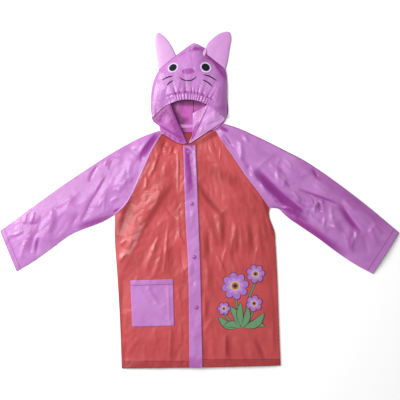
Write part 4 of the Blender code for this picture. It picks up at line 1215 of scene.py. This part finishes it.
# ---- sleeves -----------------------------------------------------------------------------------
def make_sleeve(word, under, shoulder, raglan, height, deep, shaded):
    """Flattened tube from the cuff to the raglan: a lower path on the table, an upper one and round folds.

    At a distance e from a folded edge each path is drawn in by r less the root of e (2 r - e), r being the
    fold's radius, which gives a quarter circle. shaded is the share of painted shade along the shoulder's
    fold.
    """
    share = steps(SLEEVE_ROWS)
    low = along(under, share)
    over = along(shoulder, steps(SLEEVE_ROWS - NECK_ROWS))
    high = np.vstack([over, np.linspace(shoulder[-1], raglan[-1], NECK_ROWS + 1)[1:]])
    seam = along(raglan, steps(SLEEVE_COLUMNS))
    chord = between(seam[:1], seam[-1:], SLEEVE_COLUMNS)[0]
    plan = between(low, high, SLEEVE_COLUMNS) + (seam - chord)[None] * (share**3)[:, None, None]
    across = high - low
    ahead = (across / np.linalg.norm(across, axis=1)[:, None])[:, None]
    inset = np.array([0.0, 0.35, 1.0])[None, :, None]
    rim_low, rim_high = low[:, None] + ahead * inset, high[:, None] - ahead * inset[:, ::-1]
    path = np.concatenate([rim_low, plan[:, 1:-1], rim_high], axis=1)
    to_under = np.linalg.norm(path - low[:, None], axis=2)
    to_shoulder = np.linalg.norm(path - high[:, None], axis=2)
    e = np.minimum(np.minimum(to_under, to_shoulder), FOLD)
    drawn = FOLD - np.sqrt(np.clip(e * (2 * FOLD - e), 0, None))
    x, y = path[..., 0], path[..., 1]
    ring = tube(raised(path, drawn), raised(path, height(x, y) - drawn))
    # Painted shade from the table's strips and along the shoulder's fold.
    tone = np.maximum(doubled_and_shade_share(x, y, deep), shaded * np.exp(-((to_shoulder / 3) ** 2)))
    turned = low[0, 0] > 0
    obj = build(
        f"raglan_sleeve_{word}",
        [grid_part(ring, wrap=True)],
        "calendered_lilac_vinyl",
        [f"sleeve_{word}"],
        FILM,
        turned=turned,
        tone=tube(tone, tone),
    )


# ---- band, pocket, snaps -----------------------------------------------------------------------
def make_band():
    """Snap band along the left front's edge, its two long edges welded down."""
    foot = BAND_LEFT[0][1]
    levels = foot + (BAND_TOP - foot) * steps(BAND_SHEET_ROWS)
    plan = between(at_level(BAND_LEFT, levels), at_level(BAND_RIGHT, levels), BAND_SHEET_COLUMNS)
    x, y = plan[..., 0], plan[..., 1]
    near_drop, far_drop = BAND_DROPS
    top = with_edge(with_edge(raised(plan, band_height(x, y)), 1, 0, near_drop), 1, 1, far_drop)
    # Painted shade down the band's top, and a deeper foot where the band lies double at the hem.
    tone = np.pad(doubled_and_shade_share(x, y, DEEP_BAND), ((0, 0), (1, 1)))
    band = build("snap_band", [grid_part(top)], "calendered_lilac_vinyl", ["button_band"], FILM, tone=tone)


def make_pocket():
    """Patch pocket: a four-sided sheet over the front, welded down round three sides, with a turned top."""
    corners = np.asarray(POCKET, float)
    foot = between(corners[0:1], corners[1:2], POCKET_COLUMNS)[0]
    head = between(corners[3:4], corners[2:3], POCKET_COLUMNS)[0]
    plan = between(foot, head, POCKET_ROWS).swapaxes(0, 1)
    tall = corners[2, 1] - corners[1, 1]
    hem = ease((steps(POCKET_ROWS)[:, None] * tall - (tall - POCKET_HEM)) / 2)
    top = raised(plan, pocket_height(plan[..., 0], plan[..., 1]) + POCKET_HEM_RISE * hem)
    for axis, end in ((0, 0), (0, 1), (1, 0), (1, 1)):
        top = with_edge(top, axis, end, POCKET_DROP)
    tone = np.full(top.shape[:2], POCKET_DEEP)
    look = "calendered_lilac_vinyl"
    obj = build("patch_pocket_sheet", [grid_part(top)], look, ["patch_pocket"], FILM, tone=tone)


def make_snaps():
    """Turned caps: rings at the profile's radii, whose rim follows the band under it by half."""
    radii, rises = np.asarray(SNAP_PROFILE)[::-1].T
    angle = 2 * math.pi * np.arange(SNAP_SIDES) / SNAP_SIDES
    for number, (x, y) in enumerate(SNAPS, start=1):
        px, py = x + radii[:, None] * np.cos(angle), y + radii[:, None] * np.sin(angle)
        under = band_height(px, py)
        base = under.mean(axis=1, keepdims=True) * 0.5 + under * 0.5 - SNAP_SINK
        rings = np.stack([px, py, base + rises[:, None]], axis=-1)
        part = disc_part(rings, (x, y, base[0, 0] + SNAP_TOP))
        build(f"snap_cap_{number}", [part], "moulded_snap_plastic", [f"snap_{number}"])


# ---- hood --------------------------------------------------------------------------------------
def make_hood_backs():
    """Two halves of the hood's back on the table, each drawn as rows from the centre seam to its edge."""
    halves = (
        ("left", HOOD_BACK_LEFT[:-1] + HOOD_LEFT + EAR_BASE_LEFT[1:] + HOOD_TOP[1:4]),
        ("right", HOOD_BACK_RIGHT[:-1] + HOOD_RIGHT[::-1] + EAR_BASE_RIGHT[-2::-1] + HOOD_TOP[-2:2:-1]),
    )
    for word, outline in halves:
        left = word == "left"
        seam = along(HOOD_SEAM, steps(HOOD_BACK_ROWS)) + (HOOD_OVERLAP if left else 0, 0)
        plan = between(seam, along(outline, steps(HOOD_BACK_ROWS)), HOOD_BACK_COLUMNS)
        x, y = plan[..., 0], plan[..., 1]
        # The film crumples most in the middle of the face opening, and lies flat along the centre seam.
        open_part = np.exp(-(((x + 10) / 50) ** 2) - ((y - 225) / 45) ** 2)
        lift = (0.3 + 0.7 * open_part) * np.clip(crumple(x, y, 44, 61, 1.4, 80) + 0.25, 0, None)
        lift = lift * ease(steps(HOOD_BACK_COLUMNS)[None] * 3)
        if left:
            lift = lift + HOOD_LIP * fade(HOOD_SEAM[0][0] - x, 0, HOOD_LIP_RUN)
        # Painted shade under the brim and beside the left lapel's fold, on a material painted in shade.
        obj = build(
            f"hood_back_half_{word}",
            [grid_part(raised(plan, TABLE_LAYER + lift))],
            "lilac_vinyl_inside_shaded",
            [f"hood_back_{word}"],
            FILM,
            turned=left,
            tone=doubled_and_shade_share(x, y, DEEP_HOOD_BACK),
        )


def make_crown():
    """Front of the hood: rows from its outline, which runs over the peak, down to the gathered brim.

    A row's share of the way is 1 less (1 - s) to the power 1.25, so the rows lie closer at the brim.
    """
    stretches = [a + (b - a) * steps(n)[:-1] for a, b, n in BRIM_COLUMNS]
    brim = along(BRIM, np.append(np.concatenate(stretches), 1.0))
    arch = np.vstack([along(path, steps(count))[:-1] for path, count in CROWN_COLUMNS] + [[HOOD_RIGHT[-1]]])
    row = (1 - (1 - steps(CROWN_ROWS)) ** 1.25)[:, None, None]
    plan = arch[None] * (1 - row) + brim[None] * row
    x, y = plan[..., 0], plan[..., 1]
    top = raised(plan, crown_height(x, y))
    ended = with_edge(with_edge(top, 0, 0, to_back), 0, 1, BRIM_DROP)
    # Painted shade from the table's strips and in the gathers' clefts.
    deep = np.clip(doubled_and_shade_share(x, y, DEEP_CROWN) + crown_gathers(x, y)[1], 0, 1)
    obj = build(
        "hood_front",
        [grid_part(ended)],
        "calendered_lilac_vinyl",
        ["hood_crown"],
        FILM,
        turned=True,
        tone=np.pad(deep, ((1, 1), (0, 0)), mode="edge"),
    )


def make_hood_side(word, table, creased, look, deep, waves):
    """Hood side turned out as a lapel: lower layer, round fold, upper layer over a ridge to its edge."""
    rows = along(table, steps(HOOD_SIDE_ROWS))
    start, fold, ridge, free = rows[:, 0:3], rows[:, 3:5], rows[:, 7:10], rows[:, 10:13]
    low, high = rows[:, 5], rows[:, 6]
    radius = (high - low) / 2
    out = fold - (start[:, :2] + ridge[:, :2]) / 2
    out = out / np.linalg.norm(out, axis=1)[:, None]
    centre = fold - out * radius[:, None]
    lower_steps, fold_steps, ridge_steps, free_steps = HOOD_SIDE_STEPS
    foot, knee = np.column_stack([centre, low]), np.column_stack([centre, high])
    turn = steps(fold_steps)[None, :] * math.pi
    bend = centre[:, None] + out[:, None] * (radius[:, None] * np.sin(turn))[..., None]
    bend = raised(bend, ((low + high) / 2)[:, None] - radius[:, None] * np.cos(turn))
    lower = between(start, foot, lower_steps)[:, :-1]
    upper = [between(knee, ridge, ridge_steps)[:, 1:], between(ridge, free, free_steps)[:, 1:]]
    upper = np.concatenate(upper, axis=1)
    x, y = upper[..., 0], upper[..., 1]
    wave = waves * (crumple(x, y, 44, 71, 1.5, 40) + 0.4 * crumple(x, y, 18, 72))
    wave = wave * ease(steps(HOOD_SIDE_ROWS) * 5)[:, None]
    past_ridge = np.append(np.zeros(ridge_steps), steps(free_steps)[1:])[None, :]
    upper[..., 2] += (wave + creases(x, y, creased)) * np.sin(math.pi * past_ridge) ** 0.6
    sheet = np.concatenate([lower, bend, upper], axis=1)
    # Painted shade from the table's strips; on the left lapel one strip is its dark weld line.
    tone = doubled_and_shade_share(sheet[..., 0], sheet[..., 1], deep)
    obj = build(
        f"lapel_{word}", [grid_part(sheet)], look, [f"hood_side_{word}"], FILM, 0.0, word == "left", tone
    )


def make_ear(word, sides, seed, doubled_and_shade):
    """Flat ear of two layers: each cross-section is a lens whose upper half is the fuller one.

    Across the ear the lens is a sine to the power 0.35, and the puff is the root of a sine along it. The share
    of the way to the tip is 1 less (1 - s) to the power 1.5, so its rows lie closer there.
    """
    share = 1 - (1 - steps(EAR_ROWS)) ** 1.5
    plan = between(along(sides[0], share), along(sides[1], share), EAR_COLUMNS)
    x, y = plan[..., 0], plan[..., 1]
    lens = np.sin(math.pi * steps(EAR_COLUMNS))[None, :] ** 0.35
    puff = np.sin(math.pi * (0.12 + 0.88 * share))[:, None] ** 0.5
    soft = 0.35 * crumple(x, y, 60, seed, 1.6, 80) * lens
    top = raised(plan, FOLD + lens * (FOLD + EAR_PUFF * puff) + soft * puff)
    ring = tube(raised(plan, FOLD * (1 - lens)), top)
    obj = build(
        f"ear_sheet_{word}",
        [grid_part(ring, wrap=True)],
        "calendered_pale_lilac_vinyl",
        [f"ear_{word}"],
        EAR_FILM,
        turned=True,
        tone=np.full(ring.shape[:2], doubled_and_shade),
    )


# ---- welds and hems ----------------------------------------------------------------------------
def make_welds():
    """Welded seams and the lines that hold the hems: narrow strips on the sheets they join."""
    left = np.asarray(RAGLAN_LEFT, float) + (-RAGLAN_SHIFT[0], RAGLAN_SHIFT[1])
    right = np.asarray(RAGLAN_RIGHT, float) + RAGLAN_SHIFT
    seams = [
        ribbon(left, RAGLAN_HALF, left_sleeve_height, 0.35, 0.45, 150),
        ribbon(right[::-1], RAGLAN_HALF, right_sleeve_height, 0.35, 0.45, 150),
        ribbon(NECK_WELD, NECK_WELD_HALF, level(NECK_WELD_Z), 0.3, 0.9),
        cuff_line(UNDER_LEFT, SHOULDER_LEFT, CUFF_HEM_LEFT + 2.6, left_sleeve_height),
    ]
    build("seam_welds", seams, "welded_lilac_seam_highlit")
    roots = [
        ribbon(EAR_ROOT_LEFT, EAR_ROOT_LEFT_HALF, level(EAR_ROOT_LEFT_Z), 0.0, 0.4, 60, 0.2),
        ribbon(EAR_ROOT_RIGHT, EAR_ROOT_RIGHT_HALF, ear_root_height, 0.0, 0.5, 40, 0.4),
    ]
    build("ear_root_welds", roots, "calendered_pale_lilac_vinyl")
    hems = [
        ribbon([(x, y) for x in row], HEM_LINE_HALF, height, 0.5, 0.1, 120)
        for (row, y), height in ((HEM_LINE_LEFT, left_front_height), (HEM_LINE_RIGHT, right_front_height))
    ]
    build("hem_weld", hems, "red_weld_line")
    lower_left, lower_right, upper_right, upper_left = np.asarray(POCKET)
    first, last = [
        upper + (lower - upper) * POCKET_HEM / (upper[1] - lower[1])
        for lower, upper in ((lower_left, upper_left), (lower_right, upper_right))
    ]
    lines = [
        cuff_line(UNDER_LEFT, SHOULDER_LEFT, CUFF_HEM_LEFT, left_sleeve_height),
        cuff_line(UNDER_RIGHT, SHOULDER_RIGHT, CUFF_HEM_RIGHT, right_sleeve_height),
        ribbon([first, (first + last) / 2, last], HEM_LINE_HALF, pocket_height, 0.55, 0.1, 40),
    ]
    build("lilac_weld_lines", lines, "lilac_weld_line")


def cuff_line(under, shoulder, depth, height):
    """Weld line across a sleeve, parallel to its cuff."""
    low, high = along(under, [0, 0.2]), along(shoulder, [0, 0.2])
    ends = [a + (b - a) / np.linalg.norm(b - a) * depth for a, b in (low, high)]
    inward = (ends[1] - ends[0]) / np.linalg.norm(ends[1] - ends[0]) * 1.5
    return ribbon([ends[0] + inward, (ends[0] + ends[1]) / 2, ends[1] - inward], 0.7, height, 0.3, 0.1, 60)


# ---- prints ------------------------------------------------------------------------------------
def make_face():
    """Face print on the hood: eyes, nose, smile and whiskers from ellipses and arcs."""
    on = crown_height
    whites = [patch(x, y, ellipse(a * EYE_RIM, b * EYE_RIM, t), on, 0.3) for x, y, a, b, t in EYES]
    blacks = [patch(x, y, ellipse(a, b, t), on, 0.55) for x, y, a, b, t in EYES]
    lines = [ribbon(SMILE, LINE / 2, on, 0.4, 0.05, 40, 0.2)]
    lines += [ribbon(path, WHISKER / 2, on, 0.4, 0.05, 40, 0.3) for path in WHISKERS]
    x, y, a, b, t = NOSE
    build("eye_whites", whites, "white_ink")
    build("eye_pupils", blacks, "blue_black_ink")
    build("face_nose", [patch(x, y, ellipse(a, b, t), on, 0.3)], "mauve_ink")
    build("face_lines", lines, "aubergine_ink")


def leaf(foot_x, foot_y, tip_x, tip_y, bow, half, grown, lift):
    """A leaf as a strip whose half width is a sine to the power 0.8 along its curved rib."""
    foot, tip = np.array([foot_x, foot_y], float), np.array([tip_x, tip_y], float)
    ahead = (tip - foot) / np.linalg.norm(tip - foot)
    middle = (foot + tip) / 2 + bow * np.array([-ahead[1], ahead[0]])
    width = (half + grown) * np.sin(math.pi * steps(40)) ** 0.8 + 0.3
    return ribbon([foot, middle, tip + ahead * grown], width, right_front_height, lift, 0.0, 40)


def make_posy():
    """Printed posy on the right front: flowers with round centres, stems, leaves and thin dark outlines."""
    on = right_front_height
    dark = [ribbon(path, STEM_HALF + STEM_OUTLINE, on, 0.3, 0.0, 50) for path in STEMS]
    green = [ribbon(path, STEM_HALF, on, 0.45, 0.0, 50) for path in STEMS]
    dark += [leaf(*row, OUTLINE, 0.55 + 0.1 * n) for n, row in enumerate(LEAVES)]
    green += [leaf(*row, 0, 0.62 + 0.1 * n) for n, row in enumerate(LEAVES)]
    lilac, pale, amber, cream, centre = [], [], [], [], []
    for n, (x, y, radius, count, turn) in enumerate(FLOWERS):
        lift = 1.3 + 0.2 * n
        dark.append(patch(x, y, petals(radius + OUTLINE, count, turn), on, lift, 14, 128))
        lilac.append(patch(x, y, petals(radius, count, turn), on, lift + 0.1, 14, 128))
        pale.append(patch(x, y, petals(radius * 0.62, count, turn), on, lift + 0.2, 12, 96))
        cream.append(patch(x, y, ellipse(radius * 0.34, radius * 0.34), on, lift + 0.3))
        amber.append(patch(x, y, ellipse(radius * 0.28, radius * 0.28), on, lift + 0.4))
        centre.append(patch(x, y, ellipse(radius * 0.14, radius * 0.14), on, lift + 0.5))
    build("posy_outlines", dark + centre, "indigo_ink")
    build("posy_leaves", green, "leaf_green_ink")
    build("posy_petals", lilac, "lilac_ink")
    build("posy_inner_petals", pale, "pale_lilac_ink")
    build("posy_rings", cream, "cream_ink")
    build("posy_centres", amber, "amber_ink")


# ---- settings and operators --------------------------------------------------------------------
class RaincoatLooks(bpy.types.PropertyGroup):
    """What a user would change on the coat."""

    crease: FloatProperty(
        name="Creases", description="Strength of the hand-placed creases", default=1.0, min=0, max=2
    )
    crumple: FloatProperty(
        name="Crumples", description="Strength of the fine crumpling", default=0.62, min=0, max=2
    )


class RaincoatStage(bpy.types.PropertyGroup):
    """Camera, light and floor."""

    distance: FloatProperty(
        name="Camera height",
        description="Camera over the table",
        default=3.0556,
        unit="LENGTH",
        subtype="DISTANCE",
    )
    lens: FloatProperty(name="Lens", description="Focal length in millimetres", default=100.0)
    key: FloatProperty(
        name="Key", description="Power of the soft light on the left", default=54.0, unit="POWER"
    )
    top: FloatProperty(
        name="Top", description="Power of the soft light over the left half", default=17.0, unit="POWER"
    )
    fill: FloatProperty(name="Fill", description="Strength of the even light from all round", default=0.51)
    floor: FloatVectorProperty(
        name="Floor",
        description="Colour of the floor",
        default=(0.985, 0.985, 0.985),
        size=3,
        subtype="COLOR",
    )


class RAINCOAT_OT_body(bpy.types.Operator):
    """Make the back and the two fronts"""

    bl_idname = "raincoat.body"
    bl_label = "Body"

    def execute(self, context):
        make_back()
        make_fronts()
        return {"FINISHED"}


class RAINCOAT_OT_sleeves(bpy.types.Operator):
    """Make the two raglan sleeves"""

    bl_idname = "raincoat.sleeves"
    bl_label = "Sleeves"

    def execute(self, context):
        edges = UNDER_LEFT, SHOULDER_LEFT, RAGLAN_LEFT
        make_sleeve("left", *edges, left_sleeve_height, DEEP_LEFT_SLEEVE, 0.0)
        edges = UNDER_RIGHT, SHOULDER_RIGHT, RAGLAN_RIGHT
        # The right sleeve gets painted shade along its shoulder's fold.
        make_sleeve("right", *edges, right_sleeve_height, DEEP_RIGHT_SLEEVE, 0.9)
        return {"FINISHED"}


class RAINCOAT_OT_band(bpy.types.Operator):
    """Make the snap band, its four caps and the pocket"""

    bl_idname = "raincoat.band"
    bl_label = "Band, snaps and pocket"

    def execute(self, context):
        make_band()
        make_snaps()
        make_pocket()
        return {"FINISHED"}


class RAINCOAT_OT_hood(bpy.types.Operator):
    """Make the hood's back, front and turned-out sides"""

    bl_idname = "raincoat.hood"
    bl_label = "Hood"

    def execute(self, context):
        make_hood_backs()
        make_crown()
        looks = "lilac_vinyl_turned_face", DEEP_LAPEL_LEFT, 0.3
        make_hood_side("left", HOOD_SIDE_LEFT, CREASES_LAPEL_LEFT, *looks)
        looks = "lilac_vinyl_matt_reverse_lit", DEEP_LAPEL_RIGHT, 0.9
        make_hood_side("right", HOOD_SIDE_RIGHT, CREASES_LAPEL_RIGHT, *looks)
        return {"FINISHED"}


class RAINCOAT_OT_ears(bpy.types.Operator):
    """Make the two ears"""

    bl_idname = "raincoat.ears"
    bl_label = "Ears"

    def execute(self, context):
        make_ear("left", EAR_LEFT, 81, 0.0)
        # The right ear gets a share of painted shade, as it lies further from the light.
        make_ear("right", EAR_RIGHT, 82, 0.75)
        return {"FINISHED"}


class RAINCOAT_OT_welds(bpy.types.Operator):
    """Make the welded seams and hem lines"""

    bl_idname = "raincoat.welds"
    bl_label = "Welds"

    def execute(self, context):
        make_welds()
        return {"FINISHED"}


class RAINCOAT_OT_prints(bpy.types.Operator):
    """Make the printed face and posy"""

    bl_idname = "raincoat.prints"
    bl_label = "Prints"

    def execute(self, context):
        make_face()
        make_posy()
        return {"FINISHED"}


class RAINCOAT_OT_stage(bpy.types.Operator):
    """Make the floor, the lights and the camera straight above"""

    bl_idname = "raincoat.stage"
    bl_label = "Stage"

    def execute(self, context):
        settings = context.scene.raincoat_stage
        corners = [(x * FLOOR, y * FLOOR, -FLOOR_DROP) for x, y in ((-1, -1), (1, -1), (1, 1), (-1, 1))]
        mesh = bpy.data.meshes.new("floor")
        mesh.from_pydata(corners, [], [(0, 1, 2, 3)])
        material = bpy.data.materials.new("matt_white_table")
        material.use_nodes = True
        shader = material.node_tree.nodes["Principled BSDF"]
        shader.inputs["Base Color"].default_value = (*settings.floor, 1)
        shader.inputs["Roughness"].default_value = 0.9
        shader.inputs["Specular IOR Level"].default_value = 0.1
        mesh.materials.append(material)
        floor = bpy.data.objects.new("floor", mesh)
        context.scene.collection.objects.link(floor)
        for name, power, (size, place) in zip(LIGHTS, (settings.key, settings.top), LIGHTS.values()):
            light = bpy.data.lights.new(name, "AREA")
            light.energy, light.size = power, size
            lamp = bpy.data.objects.new(name, light)
            lamp.location = place
            lamp.rotation_euler = (-lamp.location).to_track_quat("-Z", "Y").to_euler()
            context.scene.collection.objects.link(lamp)
        world = bpy.data.worlds.new("studio")
        world.use_nodes = True
        world.node_tree.nodes["Background"].inputs["Strength"].default_value = settings.fill
        world.node_tree.nodes["Background"].inputs["Color"].default_value = (1, 1, 1, 1)
        context.scene.world = world
        camera = bpy.data.cameras.new("camera")
        camera.sensor_width, camera.lens = 36.0, settings.lens
        eye = bpy.data.objects.new("camera", camera)
        eye.location = (*CAMERA_XY, settings.distance)
        context.scene.collection.objects.link(eye)
        context.scene.camera = eye
        context.scene.view_settings.view_transform = "Standard"
        return {"FINISHED"}


PIECES = (
    RAINCOAT_OT_body,
    RAINCOAT_OT_sleeves,
    RAINCOAT_OT_band,
    RAINCOAT_OT_hood,
    RAINCOAT_OT_ears,
    RAINCOAT_OT_welds,
    RAINCOAT_OT_prints,
    RAINCOAT_OT_stage,
)


class RAINCOAT_PT_panel(bpy.types.Panel):
    """Buttons and settings of the raincoat"""

    bl_idname = "RAINCOAT_PT_panel"
    bl_label = "Vinyl Raincoat"
    bl_space_type = "VIEW_3D"
    bl_region_type = "UI"
    bl_category = "Raincoat"

    def draw(self, context):
        layout = self.layout
        for group in (context.scene.raincoat, context.scene.raincoat_stage):
            for name in group.__annotations__:
                layout.prop(group, name)
        for piece in PIECES:
            layout.operator(piece.bl_idname)


CLASSES = (RaincoatLooks, RaincoatStage, *PIECES, RAINCOAT_PT_panel)


def register():
    for made in CLASSES:
        bpy.utils.register_class(made)
    bpy.types.Scene.raincoat = PointerProperty(type=RaincoatLooks)
    bpy.types.Scene.raincoat_stage = PointerProperty(type=RaincoatStage)


def unregister():
    del bpy.types.Scene.raincoat
    del bpy.types.Scene.raincoat_stage
    for made in reversed(CLASSES):
        bpy.utils.unregister_class(made)


def main():
    register()
    for piece in PIECES:
        group, name = piece.bl_idname.split(".")
        getattr(getattr(bpy.ops, group), name)()
    bpy.context.view_layer.update()


if __name__ == "__main__":
    main()
